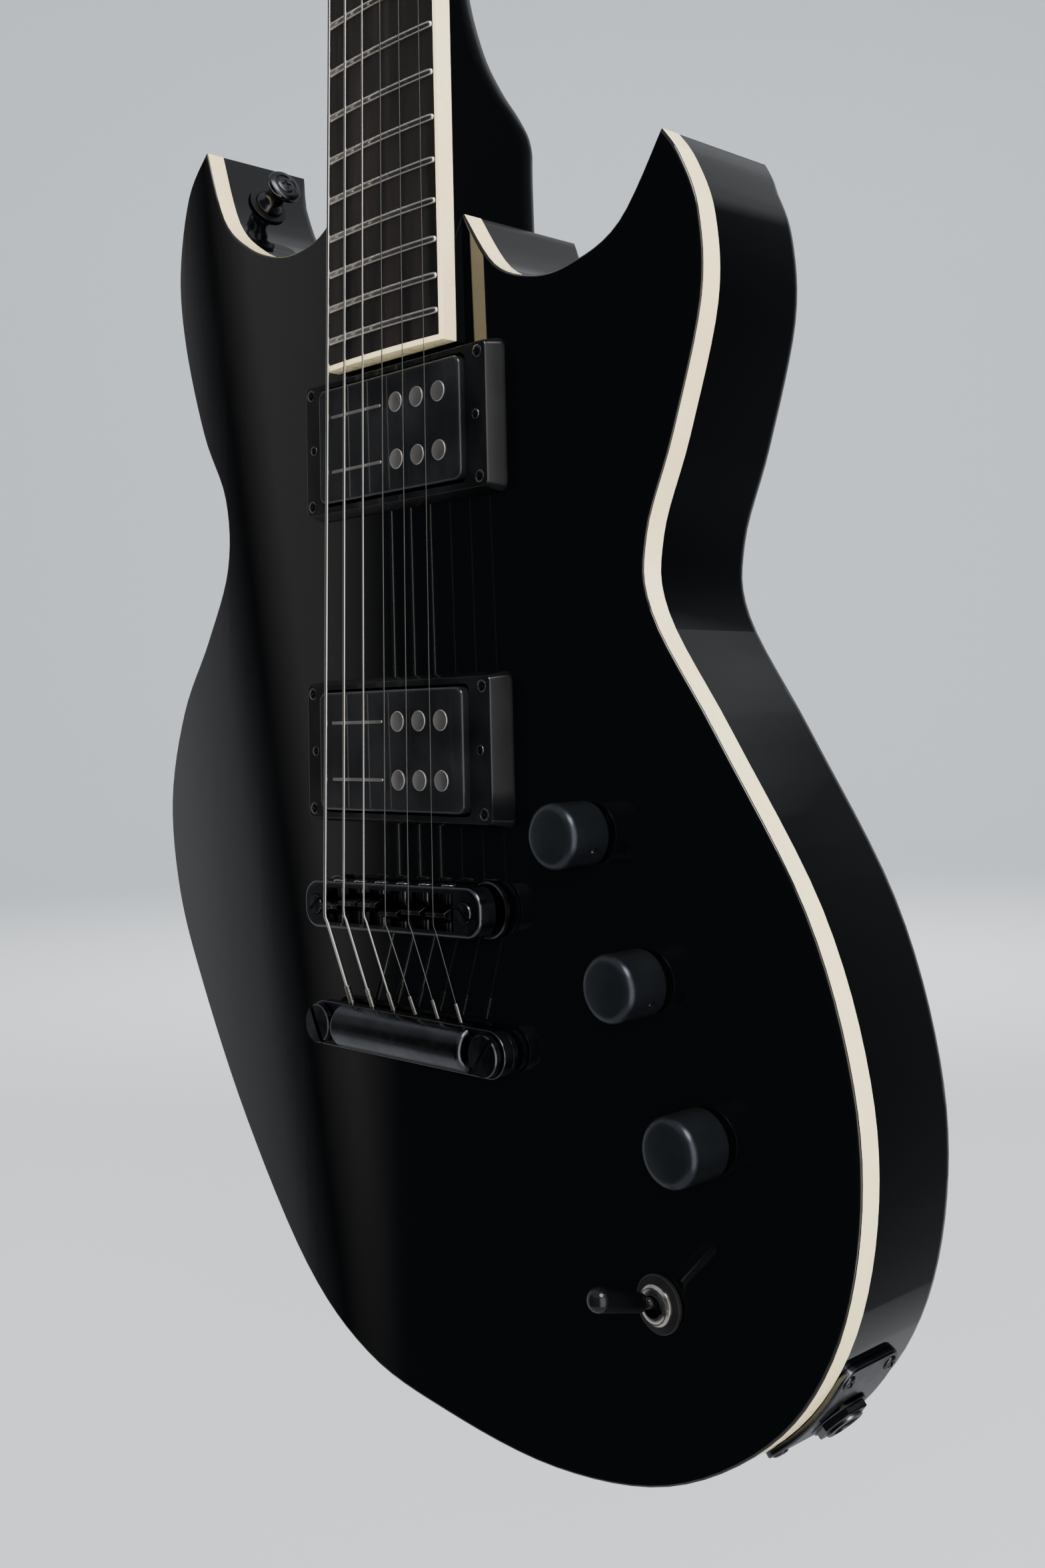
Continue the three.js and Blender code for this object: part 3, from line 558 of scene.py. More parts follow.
def settle(piece, sharp):
    """Applies the modifiers, and shades the piece smooth except across sharper edges."""
    apply_modifiers(piece)
    piece.data.shade_smooth()
    piece.data.set_sharp_from_angle(angle=math.radians(sharp))
    weighted = piece.modifiers.new("keep_flats_flat", "WEIGHTED_NORMAL")
    weighted.keep_sharp = True
    apply_modifiers(piece)


def plain_object(name, shape, rework=None):
    """A mesh in metres from a shape; rework changes it before anything is cut from it."""
    mesh = bpy.data.meshes.new(name)
    mesh.from_pydata([(point - TO_SADDLE_LINE) * MM for point in shape.points], [], shape.faces)
    work = bmesh.new()
    work.from_mesh(mesh)
    bmesh.ops.recalc_face_normals(work, faces=work.faces)
    if rework:
        rework(work)
    work.to_mesh(mesh)
    work.free()
    piece = bpy.data.objects.new(name, mesh)
    show(piece)
    return piece


def slice_across(work, pitch, count):
    """Cuts a mesh by planes across X, evenly on both sides of its middle."""
    for step in range(-count, count + 1):
        everything = [*work.verts, *work.edges, *work.faces]
        place = (pitch * step * MM, 0, 0)
        bmesh.ops.bisect_plane(work, geom=everything, dist=1e-7, plane_co=place, plane_no=(1, 0, 0))


def register(piece, body="guitar", stands_for=()):
    """Puts the piece on the body it rides, and hides the CAD nodes it stands for."""
    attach(piece, body)
    if stands_for:
        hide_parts(*stands_for)


def make(
    name, shape, finish, body="guitar", stands_for=(), cutters=(), bevel=0.0, sharp=32, rework=None,
    place=Matrix(),
):
    """A finished piece from a shape, with other shapes cut out of it and its hard edges rounded.

    The place moves the shape and the cutters. Edges sharper than so many degrees stay hard, or are bevelled.
    """
    piece = plain_object(name, shape.by(place), rework)
    piece.data.materials.append(finish.material)
    tools = [plain_object(f"{name}_tool", cutter.by(place)) for cutter in cutters]
    for tool in tools:
        modifier = piece.modifiers.new("cut", "BOOLEAN")
        modifier.operation = "DIFFERENCE"
        modifier.solver = "EXACT"
        modifier.object = tool
    if bevel:
        modifier = piece.modifiers.new("round", "BEVEL")
        modifier.width = bevel * MM
        modifier.segments = 3
        modifier.limit_method = "ANGLE"
        modifier.angle_limit = math.radians(sharp)
        modifier.use_clamp_overlap = True
    settle(piece, sharp)
    for tool in tools:
        bpy.data.objects.remove(tool)
    register(piece, body, stands_for)
    return piece


def wire(name, points, radius, finish, body="guitar", stands_for=()):
    """A round wire through the points."""
    data = bpy.data.curves.new(name, "CURVE")
    data.dimensions = "3D"
    data.bevel_depth = radius * MM
    data.bevel_resolution = 3
    data.use_fill_caps = True
    spline = data.splines.new("POLY")
    spline.points.add(len(points) - 1)
    for point, (x, y, z) in zip(spline.points, points):
        point.co = (x * MM, y * MM, (z - SCALE) * MM, 1)
    spline.use_smooth = True
    data.materials.append(finish.material)
    piece = bpy.data.objects.new(name, data)
    show(piece)
    register(piece, body, stands_for)


def screw_shape(radius):
    """A domed screw head, its underside at the origin."""
    rim, dome = 0.25, 0.5
    head = [(radius * 0.9, -0.2), (radius, 0), (radius, rim)]
    for turn in quarter(4)[1:]:
        head.append((radius * math.cos(turn), rim + dome * math.sin(turn)))
    return lathe(head, 28)


def screws(prefix, radius, places, finish=SCREW_METAL, slotted=False):
    """A set of the same screw, with a cross or a slot; places are matrices from facing()."""
    long, narrow, top = radius * 1.15, radius * 0.3, 0.75
    sizes = [(radius * 2.2, radius * 0.28)] if slotted else [(long, narrow), (narrow, long)]
    recess = [box(width, 0.9, height, 0, -top, 0) for width, height in sizes]
    first = make(f"{prefix}_1", screw_shape(radius), finish, cutters=recess)
    shift = Matrix.Translation(TO_SADDLE_LINE * MM)
    for number, place in enumerate(places, 1):
        piece = first
        if number > 1:
            piece = bpy.data.objects.new(f"{prefix}_{number}", first.data)
            show(piece)
        here = place.copy()
        here.translation = (place.translation - TO_SADDLE_LINE) * MM
        piece.parent = None
        piece.matrix_world = here @ shift
        register(piece)


make_camera()
make_backdrop()
make_lights()
make_world()


# ---------------------------------------------------------------- body
ARCH_RADIUS = 1900
BODY_DEPTH = cad("body_core")[1].y
CAP = 7.5
BINDING_WIDTH = 1.8
BINDING_LIP = 0.8
HEEL_BACK_Y = 34
FRETS = 22
BOARD_END_Z = cad("fretboard_binding")[0].z
BOARD_THICKNESS = 5.5
HEAD_TILT = 14
SIDES = ((-1, "bass"), (1, "treble"))
PICKUPS = {"neck": middle("pickup_neck").z, "bridge": middle("pickup_bridge").z}

# the horns' tips and the corners where the rim meets the neck, as (x, z)
BASS_TIP = Vector((-118, 267.5))
TREBLE_TIP = Vector((106, 212))
TREBLE_CORNER = Vector((28.7, 207))
BASS_CORNER = Vector((-28.7, 231))

# fittings on the rim: their places, and their turn in degrees, downwards from facing the treble side
JACK = (Vector((131.1, 26, -120.6)), 46)
STRAP_BUTTONS = {"upper": (Vector((-111.1, 26, 249.8)), -23), "lower": (Vector((0, 26, -147.3)), 97)}


def fret_place(number):
    return SCALE * 2 ** (-number / 12)


def arch(x):
    """How far the bent top lies behind its middle."""
    return x * x / (2 * ARCH_RADIUS)


def neck_half(z):
    return 28.7 - 0.0145 * (z - fret_place(FRETS))


def board_edge(z):
    """The front edge of the fingerboard."""
    return -8.75 + 0.0125 * (z - fret_place(FRETS))


def board_back(z):
    return board_edge(z) + BOARD_THICKNESS


def body_outline():
    """The body from the front, anticlockwise from the bass horn's tip, with its points in (x, z)."""
    rim = [
        BASS_TIP, (-132.5, 254), (-140, 226), (-136, 197), (-122.5, 161.5), (-107.5, 136), (-106.5, 111),
        (-121, 86), (-140, 60.5), (-150.5, 28), (-145, -6), (-128, -38), (-98, -81), (-61, -122),
        (-28, -141.5), (10, -148.5), (55, -151), (95, -144), (127, -125), (146, -100), (155, -68),
        (154.5, -34), (143, 6), (118, 49.5), (98, 82.5), (97, 103), (107, 129), (117.5, 163),
        (117.5, 187), (112, 203), TREBLE_TIP,
    ]
    treble_cut = [TREBLE_TIP, (90, 190), (72, 182.5), (57, 182.3), (41.5, 189), TREBLE_CORNER]
    bass_cut = [BASS_CORNER, (-42, 219), (-56, 215.5), (-71, 217), (-89, 224.6), (-106, 239), BASS_TIP]
    outline = smooth_run(rim, 6) + smooth_run(treble_cut, 6) + [BASS_CORNER] + smooth_run(bass_cut, 6)
    return inset(outline, 0.3)


OUTLINE = body_outline()


def control_cavity(margin):
    points = [
        (57, 22), (66, -28), (73, -84), (82, -112), (112, -112), (129, -86), (127, -40), (110, 4), (88, 37),
        (66, 39), (57, 22),
    ]
    return inset(smooth_run(points, 5), -margin)


def bend_over_arch(work):
    """Moves the front of a layer of the body back over the arch. Its back stays flat."""
    bent_to, flat_from = 8, 20
    slice_across(work, 5, 31)
    for vertex in work.verts:
        share = (flat_from - vertex.co.y / MM) / (flat_from - bent_to)
        vertex.co.y += arch(vertex.co.x / MM) * min(max(share, 0), 1) * MM


def round_back_edge(outline):
    """The body behind its top. The rounding of its back edge shrinks towards the horns' tips."""
    tips = [BASS_TIP, TREBLE_TIP, TREBLE_CORNER, BASS_CORNER]
    inwards = [inner - point for point, inner in zip(outline, inset(outline, 1))]
    limits = [min(5, 0.4 * min((point - tip).length for tip in tips)) for point in outline]
    rings = [[(point.x, CAP, point.y) for point in outline]]
    for turn in quarter(6):
        ring = []
        for point, inward, limit in zip(outline, inwards, limits):
            moved = point + inward * limit * (1 - math.cos(turn))
            ring.append((moved.x, BODY_DEPTH - 0.05 - limit * (1 - math.sin(turn)), moved.y))
        rings.append(ring)
    return loft(rings)


def round_hole(radius, joint):
    place = joint_place(joint)
    return lathe([(radius, -20), (radius, 10)], 32).at(place.x, 0, place.z)


def neck_pocket():
    rings = []
    for z in (BOARD_END_Z - GAP, 300):
        half, back = neck_half(z) + GAP, HEEL_BACK_Y + GAP
        rings.append([(-half, -20, z), (half, -20, z), (half, back, z), (-half, back, z)])
    return loft(rings)


def pickup_routes():
    routes = []
    for z in PICKUPS.values():
        routes.append(layers(rounded_rectangle(72, 40, 3, 0, z), [(0, -5), (0, 24)]))
        routes.append(box(87, 29, 17, 0, 9.5, z))
    return routes


def make_top():
    step = BINDING_WIDTH + 0.1
    edge = [(0.9, 0), (0.5, 0.06), (0.2, 0.25), (0.05, 0.5), (0, BINDING_LIP), (step, BINDING_LIP)]
    holes = [round_hole(4.7, f"knob_{number}_turn") for number in (1, 2, 3)]
    holes.append(round_hole(5.3, "switch_throw"))
    make(
        "body_top", layers(OUTLINE, [*edge, (step, CAP - 0.1)]), LACQUER, stands_for=["top_cap"], sharp=40,
        rework=bend_over_arch, cutters=[neck_pocket(), *pickup_routes(), *holes],
    )


def make_sides_and_back():
    cavity = layers(control_cavity(0), [(0, -5), (0, 60)])
    recess = layers(control_cavity(7 + GAP), [(0, BODY_DEPTH - 2.6), (0, 60)])
    jack_hole = lathe([(6.2, -34), (6.2, 12)], 32).by(on_side(JACK))
    make(
        "body_sides_and_back", round_back_edge(OUTLINE), LACQUER, stands_for=["body_core"], sharp=40,
        rework=bend_over_arch, cutters=[neck_pocket(), *pickup_routes(), cavity, recess, jack_hole],
    )


def make_body_binding():
    """Runs round the rim from the bass side of the neck to its treble side."""
    outer, inner = OUTLINE, inset(OUTLINE, BINDING_WIDTH)
    start = min(range(len(outer)), key=lambda i: (outer[i] - BASS_CORNER).length)
    front, back = BINDING_LIP + 0.04, CAP - 0.04
    rings = []
    for i in range(len(outer)):
        a, b = outer[(start + i) % len(outer)], inner[(start + i) % len(outer)]
        section = ((a, front), (a, back), (b, back), (b, front))
        rings.append([(point.x, y + arch(point.x), point.y) for point, y in section])
    make("binding_round_the_body", loft(rings), CREAM, stands_for=["body_binding"], cutters=[neck_pocket()])


def make_back_cover():
    cover = layers(control_cavity(6.85), rounded_steps(BODY_DEPTH - 2.5, BODY_DEPTH - 0.1, 0.05, 0.4))
    make("back_cover", cover, SOFT_BLACK, stands_for=["control_cover"])
    margin = control_cavity(3.6)
    points = [margin[int(share * len(margin))] for share in (0.06, 0.24, 0.42, 0.52, 0.7, 0.9)]
    places = [facing(BACK, (point.x, BODY_DEPTH - 0.75, point.y)) for point in points]
    screws("cover_screw", 2.4, places)


def on_side(fitting):
    """Turns a piece that faces the front to face out of the side of the body."""
    place, turn = fitting
    turned = Matrix.Rotation(math.radians(turn), 4, "Y") @ Matrix.Rotation(math.radians(90), 4, "Z")
    return Matrix.Translation(place) @ turned


# ---------------------------------------------------------------- neck and headstock
HEAD_TURN = Matrix.Rotation(-math.radians(HEAD_TILT), 4, "X")
HEAD_PLACE = Matrix.Translation((0, board_back(SCALE), SCALE + 5.5)) @ HEAD_TURN
HEAD_THICKNESS = 15
TUNERS = {}
for row in range(3):
    for side, number in ((1, row + 1), (-1, 6 - row)):
        TUNERS[number] = (side, Vector((side * (27.5 - 1.5 * row), 0, 36 + 41 * row)))


def neck_section(z, back, squareness):
    """Flat under the board, and rounded, or squarer, behind it."""
    half, front = neck_half(z) - 0.05, board_back(z) + GAP
    ring = []
    for step in range(33):
        turn = math.pi * step / 32
        c, s = math.cos(turn), math.sin(turn)
        power = 2 / squareness
        ring.append((half * math.copysign(abs(c) ** power, c), front + (back - front) * abs(s) ** power, z))
    return ring


def make_neck_shaft():
    sections = [
        (BOARD_END_Z, HEEL_BACK_Y, 12), (222, HEEL_BACK_Y, 12), (235, HEEL_BACK_Y, 12), (243, 31, 8),
        (251, 24.5, 5.5), (262.5, 18.5, 3.8), (283, 14, 2.7), (320, 13.2, 2.3), (470, 14.6, 2.2),
        (600, 16.2, 2.2), (SCALE - 6, 17.2, 2.3), (SCALE + 8, 20.5, 2.8), (SCALE + 20, 21.6, 3.2),
    ]
    rings = [neck_section(*sections[0])] + [neck_section(*section) for section in smooth_run(sections, 4)]
    in_front = box(120, 40, 220, 0, -20.1, 100).by(HEAD_PLACE)
    make("neck_shaft", loft(rings), LACQUER, stands_for=["neck"], cutters=[in_front], sharp=40)


def make_headstock():
    half = smooth_run([(22, -1), (24.5, 8), (33, 18), (39.6, 32)], 5) + [Vector((35, 150))]
    half += smooth_run([(35, 150), (33, 165), (26.5, 175), (14, 180), (0, 181.3)], 4)
    outline = inset([(22, -1), *half, *mirrored(half[:-1]), (-22, -1)], 0.3)
    plate = layers(outline, rounded_steps(0.1, HEAD_THICKNESS, 1.4, 1.4))
    make("headstock", plate, LACQUER, stands_for=["neck"], sharp=40, place=HEAD_PLACE)

    cover = [Vector((10.3, 1.6)), Vector((10.3, 5))]
    cover += smooth_run([(10.3, 5), (9.2, 13), (6, 21), (4, 31.5)], 4)
    plate = layers(cover + mirrored(cover), rounded_steps(-2.1, -0.1, 0.5, 0.05))
    make("rod_cover", plate, RING_PLASTIC, stands_for=["truss_rod_cover"], place=HEAD_PLACE)
    places = [HEAD_PLACE @ facing(FRONT, (x, -1.7, z)) for x, z in ((-7.2, 5), (7.2, 5), (0, 28))]
    screws("rod_cover_screw", 1.7, places)


# ---------------------------------------------------------------- fingerboard, frets and nut
BOARD_RADIUS = 350


def board_front(x, z):
    """The crowned playing surface."""
    return board_edge(z) - (neck_half(z) ** 2 - x * x) / (2 * BOARD_RADIUS)


def make_fingerboard():
    def section(z):
        half, back = neck_half(z) - BINDING_WIDTH, board_back(z)
        across = [half * (1 - step / 8) for step in range(17)]
        return [(-half, back, z), (half, back, z)] + [(x, board_front(x, z), z) for x in across]

    board = loft([section(BOARD_END_Z + BINDING_WIDTH), section(SCALE - 0.1)])
    make("fingerboard", board, EBONY, stands_for=["fretboard"])


def make_board_binding():
    """Goes down the treble side, across the end and up the bass side."""
    path = []
    low = BOARD_END_Z + 0.05
    for z in (SCALE - 0.1, 500, 400, 300):
        path.append((neck_half(z) - 0.05, z, neck_half(z) - BINDING_WIDTH, z))
    for step in range(17):
        share = 1 - step / 8
        outer, inner = share * (neck_half(low) - 0.05), share * (neck_half(low) - BINDING_WIDTH)
        path.append((outer, low, inner, low + BINDING_WIDTH))
    for x, z, inner_x, inner_z in path[3::-1]:
        path.append((-x, z, -inner_x, inner_z))
    rings = []
    for x, z, inner_x, inner_z in path:
        rings.append([
            (x, board_front(x, z) + 0.02, z), (x, board_back(z), z), (inner_x, board_back(inner_z), inner_z),
            (inner_x, board_front(inner_x, inner_z) + 0.02, inner_z),
        ])
    make("fingerboard_binding", loft(rings), CREAM, stands_for=["fretboard_binding"], bevel=0.25)


def make_frets():
    """Nickel crowns whose rounded ends stop at the binding."""
    width, height = 2.5, 1.15
    for number in range(1, FRETS + 1):
        z = fret_place(number)
        half = neck_half(z) - BINDING_WIDTH - 0.1
        rings = []
        for step in range(25):
            share = 1 - step / 12
            x = half * math.sin(share * math.pi / 2)
            size = min(1, 0.25 + 0.75 * math.sqrt(max(0, 1 - abs(x / half) ** 40)))
            ring = []
            for corner in range(9):
                turn = math.pi * corner / 8
                rise = height * size * math.sin(turn) ** 0.8 if corner not in (0, 8) else -0.2
                ring.append((x, board_front(x, z) - rise, z + width / 2 * size * math.cos(turn)))
            rings.append(ring)
        make(f"fret_{number}", loft(rings), FRET_NICKEL, sharp=50)


STRING_DIAMETERS = {6: 1.17, 5: 0.91, 4: 0.66, 3: 0.43, 2: 0.33, 1: 0.25}
BRIDGE_SPREAD = 52
NUT_SPREAD = 35.5
STRING_AT_NUT_Y = -5
STRING_AT_SADDLE_Y = -14.6
TAIL_HOLE_Y = -4.6
TAIL_Z = middle("tailpiece").z
BRIDGE_SLANT = 1.5
BRIDGE_Z = -1


def string_x(width, number):
    """Across the strings; number 6 is the thick one on the bass side."""
    return width * ((6 - number) / 5 - 0.5)


def make_nut():
    low, high = cad("nut")
    front, back, z = STRING_AT_NUT_Y - 0.7, board_back(SCALE), middle("nut").z
    block = box(high.x - low.x - 0.3, back - front, high.z - low.z - 0.2, 0, back - (back - front) / 2, z)
    slots = []
    for number, diameter in STRING_DIAMETERS.items():
        bottom = STRING_AT_NUT_Y + diameter / 2
        slots.append(box(diameter + 0.12, 4, 9, string_x(NUT_SPREAD, number), bottom - 2, z))
    make("nut_block", block, CREAM, stands_for=["nut"], cutters=slots, bevel=0.35)


# ---------------------------------------------------------------- strings
def string_route(number):
    """From inside the tailpiece over the saddle and the nut to the tuner post."""
    diameter = STRING_DIAMETERS[number]
    x, nut_x = string_x(BRIDGE_SPREAD, number), string_x(NUT_SPREAD, number)
    y = STRING_AT_SADDLE_Y - (BRIDGE_SPREAD ** 2 / 4 - x * x) / (2 * BOARD_RADIUS)
    bend = saddle_place(number) - 2.4
    slope = (STRING_AT_NUT_Y - y) / SCALE
    side, post = TUNERS[number]
    at_post = HEAD_PLACE @ Vector((post.x - side * (3 + diameter / 2), -7.2, post.z))
    return [
        (x, TAIL_HOLE_Y, TAIL_Z - 4), (x, TAIL_HOLE_Y, TAIL_Z + 7), (x, TAIL_HOLE_Y - 0.6, TAIL_Z + 8.5),
        (x, y + 0.9, bend - 2.4), (x, y + bend * slope + 0.15, bend - 0.8),
        (x, y + (bend + 0.6) * slope, bend + 0.6),
        (nut_x, STRING_AT_NUT_Y, SCALE), (nut_x, STRING_AT_NUT_Y, SCALE + 4.2),
        (nut_x, STRING_AT_NUT_Y + 0.4, SCALE + 6.2), tuple(at_post),
    ]


def saddle_place(number):
    """How far up the neck a saddle stands: the bridge slants, and each saddle is set for its string."""
    return middle(f"saddle_{number}").z


def helix(radius, pitch, turns, start=0.0, steps=16):
    """Points of a helix that rises towards the front."""
    points = []
    for step in range(int(turns * steps) + 1):
        turn = math.tau * step / steps + start
        points.append(Vector((radius * math.cos(turn), -pitch * step / steps, radius * math.sin(turn))))
    return points


def make_strings():
    for number, diameter in STRING_DIAMETERS.items():
        finish = WOUND_WIRE if number > 3 else PLAIN_WIRE
        route = string_route(number)
        wire(f"string_{number}_wire", route, diameter / 2, finish, stands_for=[f"string_{number}"])

        # the twist that locks the ball end, where the string leaves the tailpiece
        start, end = Vector(route[2]), Vector(route[3])
        lean = facing(end - start, start + (end - start).normalized() * -1.5)
        twist = [lean @ point for point in helix(diameter / 2 + 0.16, 0.62, 10)]
        wire(f"string_{number}_twist", twist, 0.26, NICKEL)

        side, post = TUNERS[number]
        body = f"tuner_post_{number}"
        turns = 2.5 if number > 3 else 4.5
        coil = helix(3 + diameter / 2, -diameter * 1.02, turns, math.pi if side > 0 else 0, 24)
        coil = [HEAD_PLACE @ (Vector((post.x, -7.2, post.z)) + point) for point in coil]
        wire(f"string_{number}_coil", coil, diameter / 2, finish, body)


# ---------------------------------------------------------------- tuners
def superquadric(a, b, c, squareness):
    """An ellipsoid with fuller corners as its squareness rises above 2."""
    power, steps = 2 / squareness, 20

    def eased(value):
        return math.copysign(abs(value) ** power, value)

    rings = []
    for i in range(1, steps):
        up = math.pi * i / steps - math.pi / 2
        ring = []
        for k in range(2 * steps):
            turn = math.pi * k / steps
            ring.append((
                a * eased(math.cos(up)) * eased(math.cos(turn)),
                b * eased(math.cos(up)) * eased(math.sin(turn)), c * eased(math.sin(up)),
            ))
        rings.append(ring)
    return loft(rings)


def make_tuner_strip(side, name):
    """Three housings and the plate that joins them."""
    front = HEAD_THICKNESS + 0.3
    posts = [post for where, post in TUNERS.values() if where == side]
    stands_for = [f"tuner_housings_{name}"]
    for number, post in enumerate(posts, 1):
        outline = rounded_rectangle(15, 21, 3.4, post.x + side * 1.5, post.z - 3)
        housing = layers(outline, rounded_steps(front, 27.9, 0.1, 2.6))
        shaft = lathe([(3.4, 6.6), (3.4, 9.6), (2.9, 10)], 32).turned(side * 90, "Z")
        case = housing + shaft.at(post.x, 22, post.z - 8)
        make(f"tuner_housing_{name}_{number}", case, BLACK_METAL, stands_for=stands_for, place=HEAD_PLACE)
        place = HEAD_PLACE @ facing(BACK, (post.x - side * 1.2, 27.2, post.z - 1))
        screws(f"tuner_gear_screw_{name}_{number}", 2.6, [place], BLACK_METAL, slotted=True)
    low, high = posts[0], posts[-1]
    corners = [
        (low.x + 5.6, low.z - 15), (high.x + 5.6, high.z + 9.5), (high.x - 5.6, high.z + 9.5),
        (low.x - 5.6, low.z - 15),
    ]
    strip = layers(corners, [(0, front), (0, front + 1.4)])
    make(f"tuner_plate_{name}", strip, BLACK_METAL, stands_for=stands_for, bevel=0.5, place=HEAD_PLACE)
    holes = [(low, -12.6), *[(post, 17.5) for post in posts[:-1]], (high, 8.6)]
    places = [HEAD_PLACE @ facing(BACK, (post.x, front + 1.3, post.z + rise)) for post, rise in holes]
    screws(f"tuner_plate_screw_{name}", 1.5, places)


def make_tuner(number, side, post):
    """The bushing in the headstock, the post and the button."""
    here = HEAD_PLACE @ Matrix.Translation(post)
    washer = hoop([(3.2, 0), (5.6, 0), (5.6, 0.7), (5.2, 0.9), (3.2, 0.9)])
    nut = layers(hexagon(5), rounded_steps(-3.2, -0.9, 0.3, 0.05, 2))
    make(f"tuner_bushing_{number}", washer + nut, BLACK_METAL, place=here)

    stem = lathe([
        (0, -20), (3, -20), (3, 5.8), (2.9, 6.4), (2.85, 10.5), (3.05, 12), (3.1, 15.8), (2.9, 16.6),
        (2.3, 16.9), (0, 16.95),
    ], 36)
    eye = lathe([(0.8, -8), (0.8, 8)], 16).turned(90, "Z").at(0, -8.4, 0)
    slot = box(8, 1.4, 0.9, 0, -16.8, 0)
    body = f"tuner_post_{number}"
    make(f"tuner_stem_{number}", stem, BLACK_METAL, body, stands_for=[body], cutters=[eye, slot], place=here)

    knob = superquadric(8, 4.6, 8.9, 2.6).at(side * 17, 0, 0)
    shaft = lathe([(1.9, 0), (1.9, 6), (2.6, 8.5), (3.2, 11)], 28).turned(side * 90, "Z")
    here = HEAD_PLACE @ Matrix.Translation((post.x + side * 7, 22, post.z - 8))
    body = f"tuner_button_{number}"
    make(f"tuner_knob_{number}", knob + shaft, BLACK_METAL, body, stands_for=[body], sharp=45, place=here)


# ---------------------------------------------------------------- bridge and tailpiece
BRIDGE_TURN = Matrix.Rotation(-math.radians(BRIDGE_SLANT), 4, "Y")
BRIDGE_PLACE = Matrix.Translation((0, 0, BRIDGE_Z)) @ BRIDGE_TURN
BRIDGE_POST_X = 35.6 / math.cos(math.radians(BRIDGE_SLANT))
TAIL_POST_X = 39.3


def make_bridge():
    outline = rounded_rectangle(83.8, 14.8, 6, steps=10)
    rail = layers(outline, rounded_steps(-11.1, -3.3, 1.3, 0.9))
    cutters = [box(61.4, 6, 10.6, 0, -9.1, 0)]
    cutters += [box(12, 5, 20, side * 40.5, -2.1, 0) for side in (-1, 1)]
    cutters += [lathe([(3.3, 0), (3.3, 15)], 32).at(side * BRIDGE_POST_X, 0, 0) for side in (-1, 1)]
    make(
        "bridge_bar", rail, BLACK_METAL, stands_for=["bridge_rail"], cutters=cutters, bevel=0.18,
        place=BRIDGE_PLACE,
    )
    for side, name in SIDES:
        here = BRIDGE_PLACE @ Matrix.Translation((side * BRIDGE_POST_X, 0, 0))
        post = lathe([(0, -22), (2.5, -22), (2.5, 8), (3.15, 8.2), (3.2, 11.2), (2.9, 11.7), (0, 11.8)])
        slot = box(8, 2.2, 1.1, 0, -11.8, 0).turned(35 * side, "Y")
        stands_for = [f"bridge_post_{name}"]
        make(f"bridge_stud_{name}", post, BLACK_METAL, stands_for=stands_for, cutters=[slot], place=here)
        wheel = hoop([(2.6, 0.6), (7.8, 0.6), (8.2, 0.9), (8.2, 2.1), (7.8, 2.4), (2.6, 2.4)], 60)
        make(f"bridge_wheel_{name}", wheel, BLACK_METAL, stands_for=stands_for, place=here)


def make_saddle(number, diameter):
    x = string_x(BRIDGE_SPREAD, number)
    under = -cad(f"saddle_{number}")[0].y
    corners = [(-2.7, 6.4), (2.7, 6.4), (2.7, 9.4), (0.5, under - 0.1), (-0.5, under - 0.1), (-2.7, 9.4)]
    block = loft([[(side * 4.25, -height, z) for z, height in corners] for side in (-1, 1)])
    notch = box(diameter + 0.1, 0.6, 8, 0, -under - 0.05, 0)
    body = f"saddle_{number}"
    make(
        f"saddle_{number}_block", block, BLACK_METAL, body, stands_for=[body], cutters=[notch], bevel=0.22,
        place=Matrix.Translation((x, 0, saddle_place(number))) @ BRIDGE_TURN,
    )
    z = BRIDGE_Z + x * math.tan(math.radians(BRIDGE_SLANT))
    rod = lathe([(1.1, -12.6), (1.1, 0)], 16)
    make(f"saddle_{number}_rod", rod, SCREW_METAL, place=facing((0, 0, 1), (x, -8.1, z + 7)))
    place = facing(BRIDGE_TURN @ Vector((0, 0, 1)), (x, -8.2, z + 7.3))
    screws(f"intonation_screw_{number}", 2.4, [place], PAINTED_GLINT_SCREW, slotted=True)


